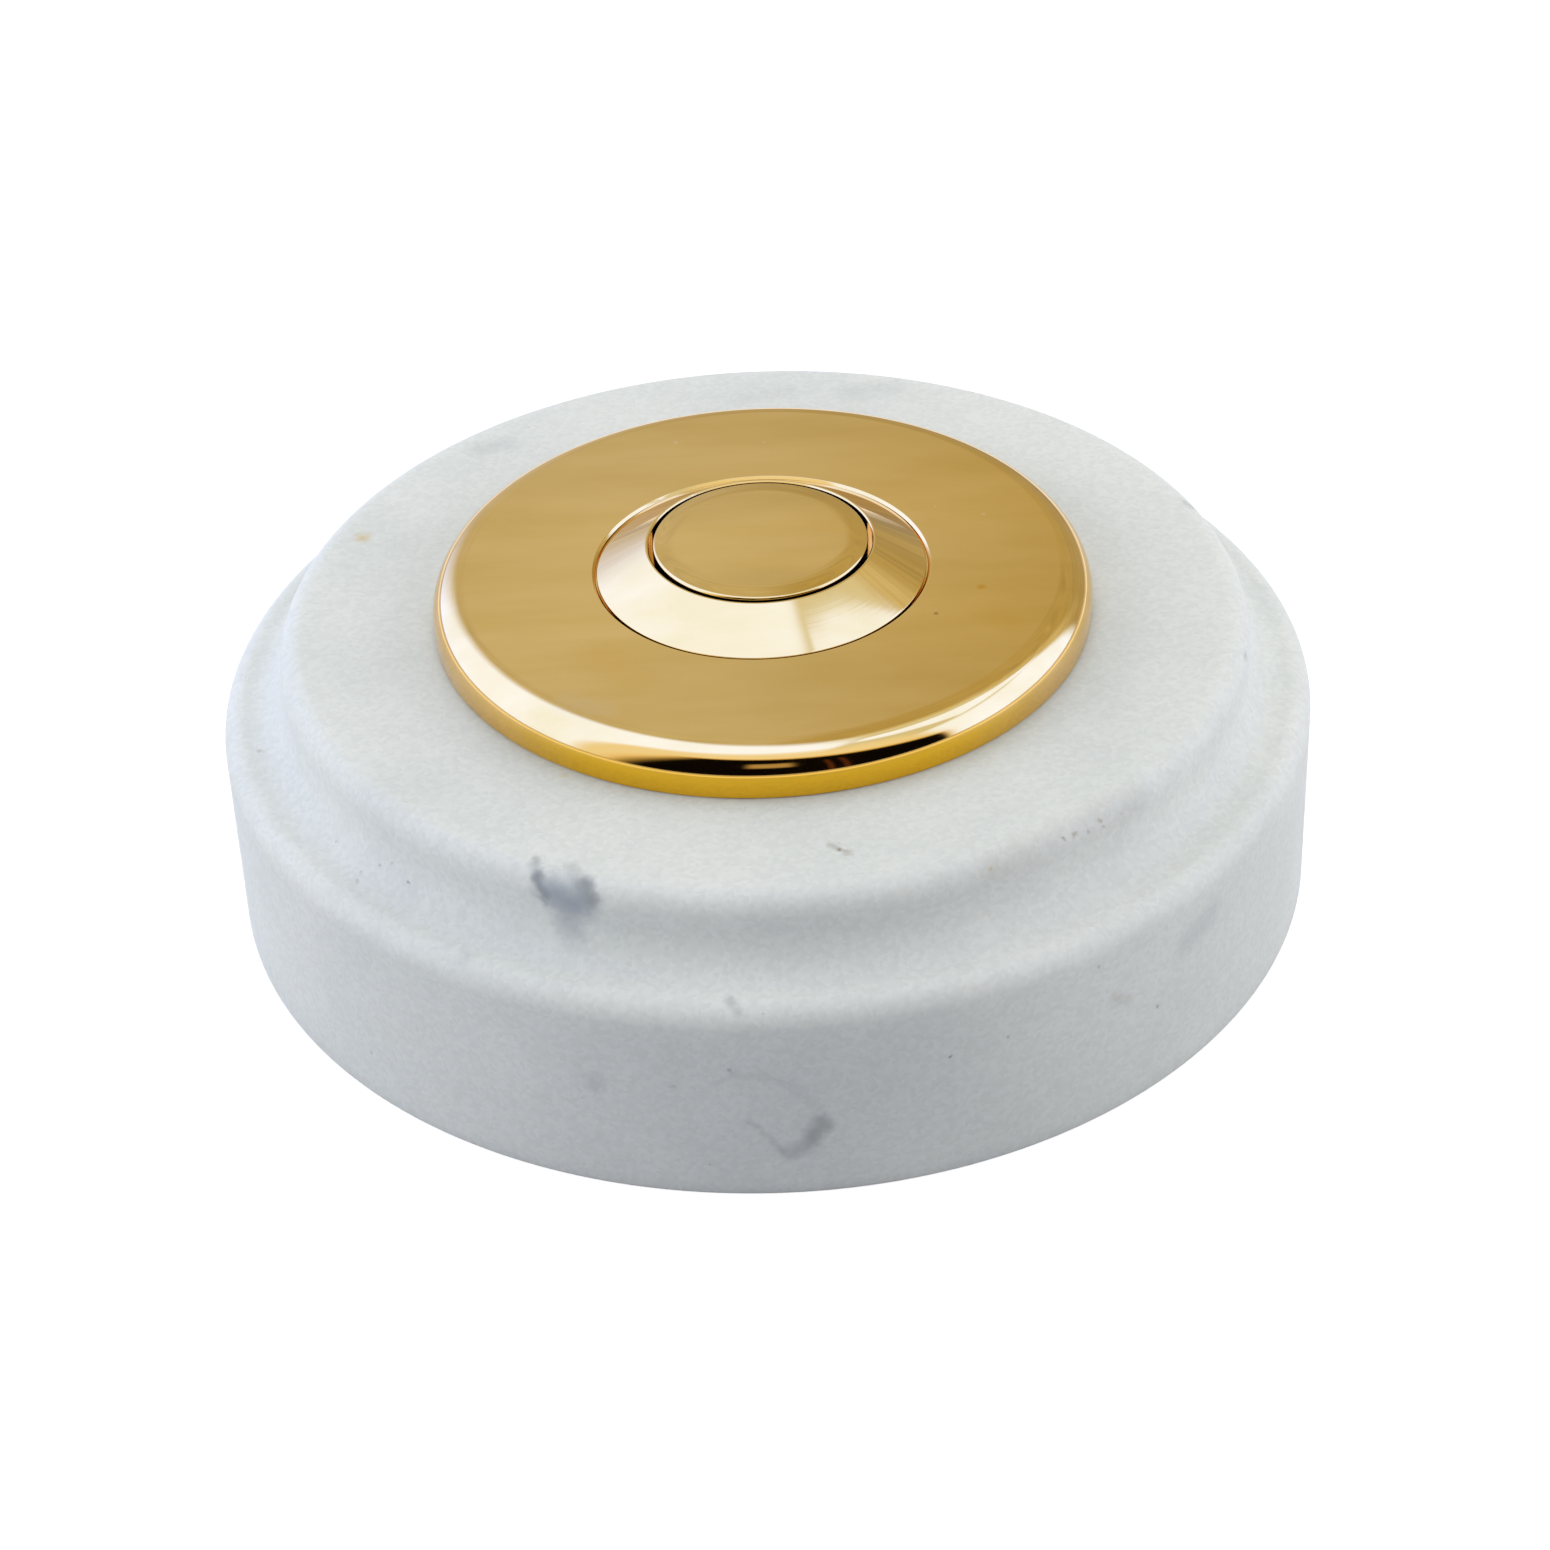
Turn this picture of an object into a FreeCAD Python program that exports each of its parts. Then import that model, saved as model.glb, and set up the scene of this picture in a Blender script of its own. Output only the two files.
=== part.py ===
import FreeCAD, Part
import math
import os

# Doorbell push button: a turned brass push on a moulded marble base, made to be fixed to a wall.
# Lengths are millimetres. The origin is the centre of the back face, and +Z points out of the wall,
# along the axis of the button.

# Marble base
base_diameter = 100.0
base_height = 27.0
moulding_height = 7.0  # from the plain side up to the top face
moulding_width = 5.8  # from the plain side in to the top face's edge
moulding_round = 2.1  # full edges above and below the cove
cove_flat = 0.1  # least straight run between the cove and these edges
foot_edge = 0.5
ledge_width = 4.0  # under the edge of the switch base, round the cable entry

# Wall screw holes and the bolts that hold the backing plate
hole_margin = 5.0  # from the bore for the switch out to the middle of these holes
wall_screw_hole = 4.5
wall_screw_head = 7.5
base_bolt_diameter = 4.0
base_bolt_head = 8.0
base_bolt_hole = 4.4
base_bolt_slot_width = 1.0
base_bolt_slot_depth = 0.9
bolt_pocket_diameter = 11.0  # counterbore in the back for washer and nut
bolt_pocket_depth = 7.0
bolt_washer_diameter = 9.0
bolt_washer_thickness = 0.8
bolt_nut_flats = 7.0
bolt_nut_height = 3.2
bolt_end_margin = 1.0  # bolt past its nut

# Backing plate
backing_thickness = 2.0
backing_margin = 5.0  # from the middle of the screw holes out to its threaded edge
sleeve_wall = 1.5
sleeve_clearance = 0.05

# Cover plate, screwed over the backing plate
cover_height = 4.4
cover_shoulder_round = 2.9
cover_side_wall = 2.0
cover_top_wall = 2.0
cover_boss_depth = 1.0  # thicker middle, which carries the bezel
cover_boss_clearance = 0.5
bezel_seat_depth = 0.8
bezel_seat_edge = 0.25  # broken edge round the seat

# Bezel ring
bezel_foot_width = 1.95  # past the barrel
bezel_seat_clearance = 0.15
bezel_shoulder_width = 1.65  # step inside the mouth, which stops the button's flange
bezel_rise = 2.6  # from the cover's face to the bezel's mouth
bezel_land = 0.25  # flat rim round the mouth
bezel_foot_rim = 0.15
barrel_wall = 1.2
barrel_hole_clearance = 0.05
barrel_lip = 0.2  # barrel past the spring guide
bezel_washer_thickness = 0.6
bezel_nut_height = 2.8
bezel_nut_width = 2.6  # radial
bezel_nut_clearance = 0.85  # inside the backing plate's sleeve
nut_slot_width = 2.5
nut_slot_depth = 1.2
nut_slot_count = 4

# Push button
button_diameter = 19.5
button_gap = 0.4  # round the button, in the bezel's mouth
button_proud = 0.2  # edge of the button above the bezel's mouth, at rest
button_crown = 0.2
button_edge_round = 0.5
button_travel = 2.0
head_depth = 3.0  # from the bezel's mouth to the flange
flange_thickness = 1.4
flange_clearance = 0.08
stem_diameter = 6.0
stem_clearance = 0.08
stem_pin_diameter = 3.0
tip_diameter = 5.8
tip_length = 2.0
tip_wall = 0.9  # under the pin
tip_gap = 0.57  # tip below the spring guide, at rest

# Return spring
spring_length = 7.0  # fitted, with the button at rest
spring_diameter = 11.0  # to the middle of the wire
spring_wire = 0.8
spring_active_turns = 3.0
spring_closed_turns = 0.75  # at each end
spring_points_per_turn = 8
spring_wire_sides = 8
spring_end_clearance = 0.03  # under the flange
locating_boss_height = 0.8
spring_seat_clearance = 0.3
guide_thickness = 2.0
guide_spanner_hole = 1.8
guide_spanner_margin = 3.6  # from the middle of a spanner hole out to the barrel's bore

# Switch
switch_base_thickness = 4.0
switch_base_clearance = 0.2
wire_hole_diameter = 3.5
wire_hole_angle = 42.0  # from the line of the terminals
terminal_margin = 5.45  # from the middle of terminals and wire holes out to the sleeve
contact_thickness = 0.4
contact_width = 5.0
contact_margin = 3.0  # strip past the middle of a screw or rivet
leaf_foot_margin = 0.8  # from the clamp washer to the bend
leaf_flat = 3.6  # from the button's axis to the upper bend
contact_bend_radius = 0.6
rivet_head_diameter = 3.2
rivet_head_height = 0.6
rivet_shank_diameter = 1.8
contact_closing_margin = 0.03
terminal_screw_diameter = 3.0
terminal_head_diameter = 5.5
terminal_head_height = 2.0
terminal_slot_width = 0.8
terminal_slot_depth = 0.9
terminal_washer_size = 6.4
terminal_washer_thickness = 0.8
terminal_nut_flats = 5.5
terminal_nut_height = 2.4
nut_pocket_clearance = 0.1

# Heights that follow, from the marble's top face up to the button
side_height = base_height - moulding_height
backing_top = base_height + backing_thickness
cover_top = base_height + cover_height
cover_ceiling = cover_top - cover_top_wall
boss_bottom = cover_ceiling - cover_boss_depth
bezel_seat = cover_top - bezel_seat_depth
bezel_mouth = cover_top + bezel_rise
button_edge = bezel_mouth + button_proud

# Heights that follow, down behind the bezel to the ledge that the switch stands on
bezel_washer_bottom = boss_bottom - bezel_washer_thickness
bezel_nut_bottom = bezel_washer_bottom - bezel_nut_height
flange_top = bezel_mouth - head_depth
flange_bottom = flange_top - flange_thickness
guide_top = flange_bottom - spring_length
guide_bottom = guide_top - guide_thickness
barrel_bottom = guide_bottom - barrel_lip
tip_top = guide_bottom - tip_gap
leaf_top = tip_top - tip_length
leaf_bottom = leaf_top - contact_thickness
moving_contact_bottom = leaf_bottom - rivet_head_height
fixed_contact_top = moving_contact_bottom - button_travel - contact_closing_margin
strip_top = fixed_contact_top - rivet_head_height
switch_base_top = strip_top - contact_thickness
chamber_floor = switch_base_top - switch_base_thickness

# Heights that follow, in the pockets at the back
bolt_nut_top = bolt_pocket_depth - bolt_washer_thickness
bolt_nut_bottom = bolt_nut_top - bolt_nut_height
bolt_end = bolt_nut_bottom - bolt_end_margin

# Radii that follow, from the button outward
button_radius = button_diameter / 2
mouth_radius = button_radius + button_gap
barrel_bore = mouth_radius + bezel_shoulder_width
barrel_radius = barrel_bore + barrel_wall
bezel_radius = barrel_radius + bezel_foot_width
seat_radius = bezel_radius + bezel_seat_clearance
bezel_nut_radius = barrel_radius + bezel_nut_width
sleeve_inner = bezel_nut_radius + bezel_nut_clearance
sleeve_outer = sleeve_inner + sleeve_wall
chamber_radius = sleeve_outer + sleeve_clearance
hole_reach = chamber_radius + hole_margin
thread_radius = hole_reach + backing_margin
cover_radius = thread_radius + cover_side_wall
base_radius = base_diameter / 2
top_radius = base_radius - moulding_width
cove_radius = min(moulding_height, moulding_width) - moulding_round - cove_flat

# Radii that follow, inside these
entry_radius = chamber_radius - ledge_width
boss_radius = sleeve_inner - cover_boss_clearance
terminal_reach = sleeve_inner - terminal_margin
stem_radius = stem_diameter / 2
guide_bore = stem_radius + stem_clearance
guide_spanner_reach = barrel_bore - guide_spanner_margin
locating_boss_radius = (spring_diameter - spring_wire) / 2 - spring_seat_clearance

Z_AXIS = FreeCAD.Vector(0, 0, 1)
CENTRE = FreeCAD.Vector(0, 0, 0)


def outline(corners):
    """Closed wire in the XZ plane. A corner is (x, z), or (x, z, radius) where a tangent arc rounds it."""
    points = [FreeCAD.Vector(corner[0], 0, corner[1]) for corner in corners]
    arcs = {}
    ends = []
    for i, point in enumerate(points):
        radius = corners[i][2] if len(corners[i]) > 2 else 0.0
        if radius == 0.0:
            ends.append((point, point))
            continue
        back = (points[i - 1] - point).normalize()
        ahead = (points[(i + 1) % len(points)] - point).normalize()
        half_angle = back.getAngle(ahead) / 2
        reach = radius / math.tan(half_angle)
        middle = point + (back + ahead).normalize() * (radius / math.sin(half_angle) - radius)
        arcs[i] = Part.Arc(point + back * reach, middle, point + ahead * reach)
        ends.append((point + back * reach, point + ahead * reach))
    edges = []
    for i, (_, leave) in enumerate(ends):
        if i in arcs:
            edges.append(arcs[i].toShape())
        arrive = ends[(i + 1) % len(ends)][0]
        if leave.distanceToPoint(arrive) > 1e-6:
            edges.append(Part.LineSegment(leave, arrive).toShape())
    return Part.Wire(edges)


def turned(corners):
    """Solid turned about the Z axis from an outline of (radius, height) corners."""
    return Part.Face(outline(corners)).revolve(CENTRE, Z_AXIS, 360)


def drilled(shape, x, y, diameter, bottom, top):
    """Shape with a round hole along Z."""
    hole = Part.makeCylinder(diameter / 2, top - bottom, FreeCAD.Vector(x, y, bottom))
    return shape.cut(hole)


def countersunk(shape, x, y, hole, head, top):
    """Shape with a 90 degree countersink whose wide end is at height top."""
    depth = (head - hole) / 2
    cone = Part.makeCone(hole / 2, head / 2, depth, FreeCAD.Vector(x, y, top - depth))
    return shape.cut(cone)


def ring(outer, inner, bottom, top):
    """Plain ring, such as a washer, on the Z axis."""
    return turned([(inner, bottom), (outer, bottom), (outer, top), (inner, top)])


def hexagon(flats, bottom, height):
    """Hexagonal prism on the Z axis."""
    corner = flats / math.sqrt(3)
    angles = [math.radians(60 * i) for i in range(7)]
    points = [FreeCAD.Vector(corner * math.cos(a), corner * math.sin(a), bottom) for a in angles]
    return Part.Face(Part.makePolygon(points)).extrude(FreeCAD.Vector(0, 0, height))


def hex_nut(flats, bore, bottom, height):
    """Hexagon nut on the Z axis, with its corners turned off at both ends."""
    corner = flats / math.sqrt(3)
    chamfer = corner - flats / 2
    top = bottom + height
    blank = turned([
        (bore / 2, bottom),
        (flats / 2, bottom),
        (corner, bottom + chamfer),
        (corner, top - chamfer),
        (flats / 2, top),
        (bore / 2, top),
    ])
    return hexagon(flats, bottom, height).common(blank)


def slotted(shape, width, depth, length, top):
    """Screw on the Z axis with a driver slot cut along X into its head."""
    corner = FreeCAD.Vector(-length / 2, -width / 2, top - depth)
    return shape.cut(Part.makeBox(length, width, depth, corner))


def pair(shape, x, y):
    """Two copies of a piece modelled on the Z axis, moved to (x, y) and to (-x, -y)."""
    copies = []
    for side in (1, -1):
        copy = shape.copy()
        copy.translate(FreeCAD.Vector(side * x, side * y, 0))
        copies.append(copy)
    return Part.Compound(copies)


def marble_base():
    """Turned base: plain side, cove, flat top; stepped bore for the switch and the bell wires."""
    base = turned([
        (entry_radius, 0),
        (base_radius - foot_edge, 0),
        (base_radius, foot_edge),
        (base_radius, side_height, moulding_round),
        (top_radius, side_height, cove_radius),
        (top_radius, base_height, moulding_round),
        (chamber_radius, base_height),
        (chamber_radius, chamber_floor),
        (entry_radius, chamber_floor),
    ])
    for side in (1, -1):
        base = drilled(base, side * hole_reach, 0, wall_screw_hole, 0, base_height)
        base = drilled(base, 0, side * hole_reach, base_bolt_hole, 0, base_height)
        base = drilled(base, 0, side * hole_reach, bolt_pocket_diameter, 0, bolt_pocket_depth)
    return base


def backing_plate():
    """Flange on the marble's face, threaded at its edge, with a sleeve that clamps the switch base."""
    plate = turned([
        (sleeve_inner, switch_base_top),
        (sleeve_outer, switch_base_top),
        (sleeve_outer, base_height),
        (thread_radius, base_height),
        (thread_radius, backing_top),
        (sleeve_inner, backing_top),
    ])
    for side in (1, -1):
        x = side * hole_reach
        plate = drilled(plate, x, 0, wall_screw_hole, base_height, backing_top)
        plate = countersunk(plate, x, 0, wall_screw_hole, wall_screw_head, backing_top)
        y = side * hole_reach
        plate = drilled(plate, 0, y, base_bolt_diameter, base_height, backing_top)
        plate = countersunk(plate, 0, y, base_bolt_diameter, base_bolt_head, backing_top)
    return plate


def base_bolts():
    """Countersunk bolts through the backing plate and the marble."""
    head_depth_below = (base_bolt_head - base_bolt_diameter) / 2
    bolt = turned([
        (0, bolt_end),
        (base_bolt_diameter / 2, bolt_end),
        (base_bolt_diameter / 2, backing_top - head_depth_below),
        (base_bolt_head / 2, backing_top),
        (0, backing_top),
    ])
    bolt = slotted(bolt, base_bolt_slot_width, base_bolt_slot_depth, base_bolt_head, backing_top)
    return pair(bolt, 0, hole_reach)


def base_bolt_washers():
    """Washers in the pockets at the back."""
    washer = ring(bolt_washer_diameter / 2, base_bolt_diameter / 2, bolt_nut_top, bolt_pocket_depth)
    return pair(washer, 0, hole_reach)


def base_bolt_nuts():
    """Hexagon nuts in the pockets at the back."""
    nut = hex_nut(bolt_nut_flats, base_bolt_diameter, bolt_nut_bottom, bolt_nut_height)
    return pair(nut, 0, hole_reach)


def cover_plate():
    """Dished cover with a rounded shoulder, hollow behind, its middle bossed and recessed for the bezel."""
    hole = barrel_radius + barrel_hole_clearance
    return turned([
        (hole, boss_bottom),
        (boss_radius, boss_bottom),
        (boss_radius, cover_ceiling),
        (thread_radius, cover_ceiling),
        (thread_radius, base_height),
        (cover_radius, base_height),
        (cover_radius, cover_top, cover_shoulder_round),
        (seat_radius + bezel_seat_edge, cover_top),
        (seat_radius, cover_top - bezel_seat_edge),
        (seat_radius, bezel_seat),
        (hole, bezel_seat),
    ])


def bezel_ring():
    """Cone round the button, its foot in the cover's recess, with a barrel behind for button and spring."""
    return turned([
        (mouth_radius, flange_top),
        (barrel_bore, flange_top),
        (barrel_bore, barrel_bottom),
        (barrel_radius, barrel_bottom),
        (barrel_radius, bezel_seat),
        (bezel_radius, bezel_seat),
        (bezel_radius, cover_top - bezel_foot_rim),
        (mouth_radius + bezel_land, bezel_mouth),
        (mouth_radius, bezel_mouth),
    ])


def bezel_washer():
    """Washer between the cover's boss and the ring nut."""
    return ring(bezel_nut_radius, barrel_radius + barrel_hole_clearance, bezel_washer_bottom, boss_bottom)


def bezel_nut():
    """Ring nut on the barrel, with spanner slots in its lower face."""
    nut = ring(bezel_nut_radius, barrel_radius, bezel_nut_bottom, bezel_washer_bottom)
    slot = Part.makeBox(
        bezel_nut_width * 2,
        nut_slot_width,
        nut_slot_depth,
        FreeCAD.Vector(barrel_radius - bezel_nut_width / 2, -nut_slot_width / 2, bezel_nut_bottom),
    )
    for i in range(nut_slot_count):
        cutter = slot.copy()
        cutter.rotate(CENTRE, Z_AXIS, 360 * i / nut_slot_count)
        nut = nut.cut(cutter)
    return nut


def push_button():
    """Crowned head, a flange that stops under the bezel's shoulder, a spring boss and the stem."""
    pin_bottom = leaf_top + tip_wall
    button = turned([
        (0, pin_bottom),
        (stem_pin_diameter / 2, pin_bottom),
        (stem_pin_diameter / 2, tip_top),
        (stem_radius, tip_top),
        (stem_radius, flange_bottom - locating_boss_height),
        (locating_boss_radius, flange_bottom - locating_boss_height),
        (locating_boss_radius, flange_bottom),
        (barrel_bore - flange_clearance, flange_bottom),
        (barrel_bore - flange_clearance, flange_top),
        (button_radius, flange_top),
        (button_radius, button_edge, button_edge_round),
        (0, button_edge),
    ])
    face_radius = button_radius - button_edge_round
    crown_radius = (face_radius ** 2 + button_crown ** 2) / (2 * button_crown)
    ball = Part.makeSphere(crown_radius, FreeCAD.Vector(0, 0, button_edge + button_crown - crown_radius))
    crown = ball.common(Part.makeCylinder(face_radius, button_crown * 2, FreeCAD.Vector(0, 0, button_edge)))
    return button.fuse(crown)


def plunger_tip():
    """Insulating cap pressed on the end of the stem; it bears on the moving contact."""
    pin_bottom = leaf_top + tip_wall
    return turned([
        (0, leaf_top),
        (tip_diameter / 2, leaf_top),
        (tip_diameter / 2, tip_top),
        (stem_pin_diameter / 2, tip_top),
        (stem_pin_diameter / 2, pin_bottom),
        (0, pin_bottom),
    ])


def spring_guide():
    """Disc screwed into the barrel. It guides the stem, seats the spring and has two spanner holes."""
    guide = turned([
        (guide_bore, guide_bottom),
        (barrel_bore, guide_bottom),
        (barrel_bore, guide_top),
        (locating_boss_radius, guide_top),
        (locating_boss_radius, guide_top + locating_boss_height),
        (guide_bore, guide_top + locating_boss_height),
    ])
    for side in (1, -1):
        x = side * guide_spanner_reach
        guide = drilled(guide, x, 0, guide_spanner_hole, guide_bottom, guide_top)
    return guide


def return_spring():
    """Compression spring. Its closed ends climb one wire thickness a turn, the rest at the open pitch."""
    turns = spring_active_turns + 2 * spring_closed_turns
    rise = spring_length - spring_end_clearance - spring_wire
    closed_rise = spring_wire * spring_closed_turns
    open_rise = rise - 2 * closed_rise
    points = []
    for i in range(int(turns * spring_points_per_turn) + 1):
        turn = i / spring_points_per_turn
        if turn <= spring_closed_turns:
            height = spring_wire * turn
        elif turn <= turns - spring_closed_turns:
            height = closed_rise + open_rise * (turn - spring_closed_turns) / spring_active_turns
        else:
            height = rise - spring_wire * (turns - turn)
        angle = 2 * math.pi * turn
        points.append(FreeCAD.Vector(
            spring_diameter / 2 * math.cos(angle),
            spring_diameter / 2 * math.sin(angle),
            guide_top + spring_wire / 2 + height,
        ))
    curve = Part.BSplineCurve()
    curve.interpolate(points)
    start = curve.value(curve.FirstParameter)
    outward = FreeCAD.Vector(1, 0, 0)
    sideways = curve.tangent(curve.FirstParameter)[0].cross(outward)
    corner_radius = spring_wire / 2 / math.cos(math.pi / spring_wire_sides)
    section = []
    for i in range(spring_wire_sides + 1):
        angle = 2 * math.pi * (i + 0.5) / spring_wire_sides
        section.append(start + (outward * math.cos(angle) + sideways * math.sin(angle)) * corner_radius)
    return Part.Wire(curve.toShape()).makePipeShell([Part.makePolygon(section)], True, True)


def switch_base():
    """Insulating disc on the marble's ledge, with holes for wires, screws and rivet and two nut pockets."""
    base = turned([
        (0, chamber_floor),
        (chamber_radius - switch_base_clearance, chamber_floor),
        (chamber_radius - switch_base_clearance, switch_base_top),
        (0, switch_base_top),
    ])
    base = drilled(base, 0, 0, rivet_shank_diameter, chamber_floor, switch_base_top)
    for side in (1, -1):
        x = side * terminal_reach
        base = drilled(base, x, 0, terminal_screw_diameter, chamber_floor, switch_base_top)
        wire_x = side * terminal_reach * math.cos(math.radians(wire_hole_angle))
        wire_y = side * terminal_reach * math.sin(math.radians(wire_hole_angle))
        base = drilled(base, wire_x, wire_y, wire_hole_diameter, chamber_floor, switch_base_top)
        pocket = hexagon(terminal_nut_flats + nut_pocket_clearance, chamber_floor, terminal_nut_height)
        pocket.translate(FreeCAD.Vector(x, 0, 0))
        base = base.cut(pocket)
    return base


def bent_strip(path, bend_radius, thickness, width):
    """Flat strip bent along a path of (x, z) points, which its lower face follows."""
    points = [FreeCAD.Vector(x, 0, z) for x, z in path]
    runs = [(b - a).normalize() for a, b in zip(points, points[1:])]
    normals = [FreeCAD.Vector(-run.z, 0, run.x) for run in runs]
    start_top = points[0] + normals[0] * thickness
    lower = [(points[0].x, points[0].z)]
    upper = [(start_top.x, start_top.z)]
    for i in range(1, len(points) - 1):
        mitre = (normals[i - 1] + normals[i]) * (thickness / (1 + normals[i - 1].dot(normals[i])))
        top = points[i] + mitre
        outer = bend_radius + thickness
        climbs = runs[i].z > runs[i - 1].z
        lower.append((points[i].x, points[i].z, outer if climbs else bend_radius))
        upper.append((top.x, top.z, bend_radius if climbs else outer))
    end_top = points[-1] + normals[-1] * thickness
    lower.append((points[-1].x, points[-1].z))
    upper.append((end_top.x, end_top.z))
    face = Part.Face(outline(lower + upper[::-1]))
    strip = face.extrude(FreeCAD.Vector(0, width, 0))
    strip.translate(FreeCAD.Vector(0, -width / 2, 0))
    return strip


def moving_contact():
    """Spring leaf: clamped foot, ramp, and a flat end under the plunger."""
    leaf = bent_strip(
        [
            (-terminal_reach - contact_margin, switch_base_top),
            (-terminal_reach + terminal_washer_size / 2 + leaf_foot_margin, switch_base_top),
            (-leaf_flat, leaf_bottom),
            (contact_margin, leaf_bottom),
        ],
        contact_bend_radius,
        contact_thickness,
        contact_width,
    )
    leaf = drilled(leaf, -terminal_reach, 0, terminal_screw_diameter, switch_base_top, strip_top)
    return drilled(leaf, 0, 0, rivet_shank_diameter, leaf_bottom, leaf_top)


def moving_contact_rivet():
    """Contact under the leaf's end, its shank closed flush with the leaf."""
    return turned([
        (0, moving_contact_bottom),
        (rivet_head_diameter / 2, moving_contact_bottom),
        (rivet_head_diameter / 2, leaf_bottom),
        (rivet_shank_diameter / 2, leaf_bottom),
        (rivet_shank_diameter / 2, leaf_top),
        (0, leaf_top),
    ])


def fixed_contact():
    """Flat strip from the other terminal to the middle."""
    strip = bent_strip(
        [(-contact_margin, switch_base_top), (terminal_reach + contact_margin, switch_base_top)],
        contact_bend_radius,
        contact_thickness,
        contact_width,
    )
    strip = drilled(strip, 0, 0, rivet_shank_diameter, switch_base_top, strip_top)
    return drilled(strip, terminal_reach, 0, terminal_screw_diameter, switch_base_top, strip_top)


def fixed_contact_rivet():
    """Contact on the strip, its shank through the switch base and closed underneath."""
    head = rivet_head_diameter / 2
    shank = rivet_shank_diameter / 2
    return turned([
        (0, chamber_floor - rivet_head_height),
        (head, chamber_floor - rivet_head_height),
        (head, chamber_floor),
        (shank, chamber_floor),
        (shank, strip_top),
        (head, strip_top),
        (head, fixed_contact_top),
        (0, fixed_contact_top),
    ])


def terminal_screws():
    """Cheese-head screws down through washer, contact and switch base into the nuts."""
    washer_top = strip_top + terminal_washer_thickness
    head_top = washer_top + terminal_head_height
    screw = turned([
        (0, chamber_floor),
        (terminal_screw_diameter / 2, chamber_floor),
        (terminal_screw_diameter / 2, washer_top),
        (terminal_head_diameter / 2, washer_top),
        (terminal_head_diameter / 2, head_top),
        (0, head_top),
    ])
    screw = slotted(screw, terminal_slot_width, terminal_slot_depth, terminal_head_diameter, head_top)
    return pair(screw, terminal_reach, 0)


def terminal_washers():
    """Square clamp washers under the screw heads."""
    half = terminal_washer_size / 2
    washer = Part.makeBox(
        terminal_washer_size,
        terminal_washer_size,
        terminal_washer_thickness,
        FreeCAD.Vector(-half, -half, strip_top),
    )
    top = strip_top + terminal_washer_thickness
    washer = drilled(washer, 0, 0, terminal_screw_diameter, strip_top, top)
    return pair(washer, terminal_reach, 0)


def terminal_nuts():
    """Nuts in the pockets under the switch base."""
    nut = hex_nut(terminal_nut_flats, terminal_screw_diameter, chamber_floor, terminal_nut_height)
    return pair(nut, terminal_reach, 0)


PIECES = {
    "marble_base": marble_base,
    "backing_plate": backing_plate,
    "base_bolts": base_bolts,
    "base_bolt_washers": base_bolt_washers,
    "base_bolt_nuts": base_bolt_nuts,
    "cover_plate": cover_plate,
    "bezel_ring": bezel_ring,
    "bezel_washer": bezel_washer,
    "bezel_nut": bezel_nut,
    "push_button": push_button,
    "plunger_tip": plunger_tip,
    "spring_guide": spring_guide,
    "return_spring": return_spring,
    "switch_base": switch_base,
    "moving_contact": moving_contact,
    "moving_contact_rivet": moving_contact_rivet,
    "fixed_contact": fixed_contact,
    "fixed_contact_rivet": fixed_contact_rivet,
    "terminal_screws": terminal_screws,
    "terminal_washers": terminal_washers,
    "terminal_nuts": terminal_nuts,
}

os.makedirs("parts", exist_ok=True)
for name, make in PIECES.items():
    piece = make()
    piece.exportStep(f"parts/{name}.step")
    print(f"{name}: solids {len(piece.Solids)}, {piece.Volume:.1f} mm3, valid {piece.isValid()}")
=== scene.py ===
# %% [markdown]
# # A brass doorbell push on a turned marble base
#
# The imported model brings every piece of the bell push at its real size, in metres, with +Z out of the wall. This
# file dresses it. The turned pieces that show are spun again from the same sizes with far finer edges, because
# polished brass gives away every facet. The spring is made because it follows a path, and every piece gets the
# finish of the real material.

# %% Load the imported frame
import math

import bmesh
import bpy
from mathutils import Matrix, Quaternion, Vector


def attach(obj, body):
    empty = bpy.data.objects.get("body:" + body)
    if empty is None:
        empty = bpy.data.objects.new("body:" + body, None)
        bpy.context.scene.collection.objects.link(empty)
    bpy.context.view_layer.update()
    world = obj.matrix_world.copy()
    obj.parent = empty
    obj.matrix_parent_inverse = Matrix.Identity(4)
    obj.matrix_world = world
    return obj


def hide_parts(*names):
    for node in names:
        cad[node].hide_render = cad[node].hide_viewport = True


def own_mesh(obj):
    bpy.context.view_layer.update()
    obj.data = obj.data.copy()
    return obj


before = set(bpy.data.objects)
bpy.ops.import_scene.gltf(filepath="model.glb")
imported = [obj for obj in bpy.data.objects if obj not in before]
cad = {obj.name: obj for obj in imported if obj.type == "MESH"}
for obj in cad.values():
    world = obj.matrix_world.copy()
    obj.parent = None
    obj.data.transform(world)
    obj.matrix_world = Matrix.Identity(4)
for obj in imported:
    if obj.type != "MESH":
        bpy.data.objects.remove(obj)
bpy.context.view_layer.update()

MM = 0.001  # metres in a millimetre

# %% [markdown]
# ## Turned pieces
#
# A lathe makes most of this object, so one helper spins an outline about Z. Each corner of the outline may carry
# a rounding, since no real edge is sharp. Two holding points beside each rounding keep the long flats flat in a
# reflection: without them the smooth shading of the small edge would spread over the whole face.

# %% Outline with eased corners
ARC_STEP = math.radians(8)
HOLDING = 0.12  # mm, from a rounding to the holding point on the flat beside it


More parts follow.
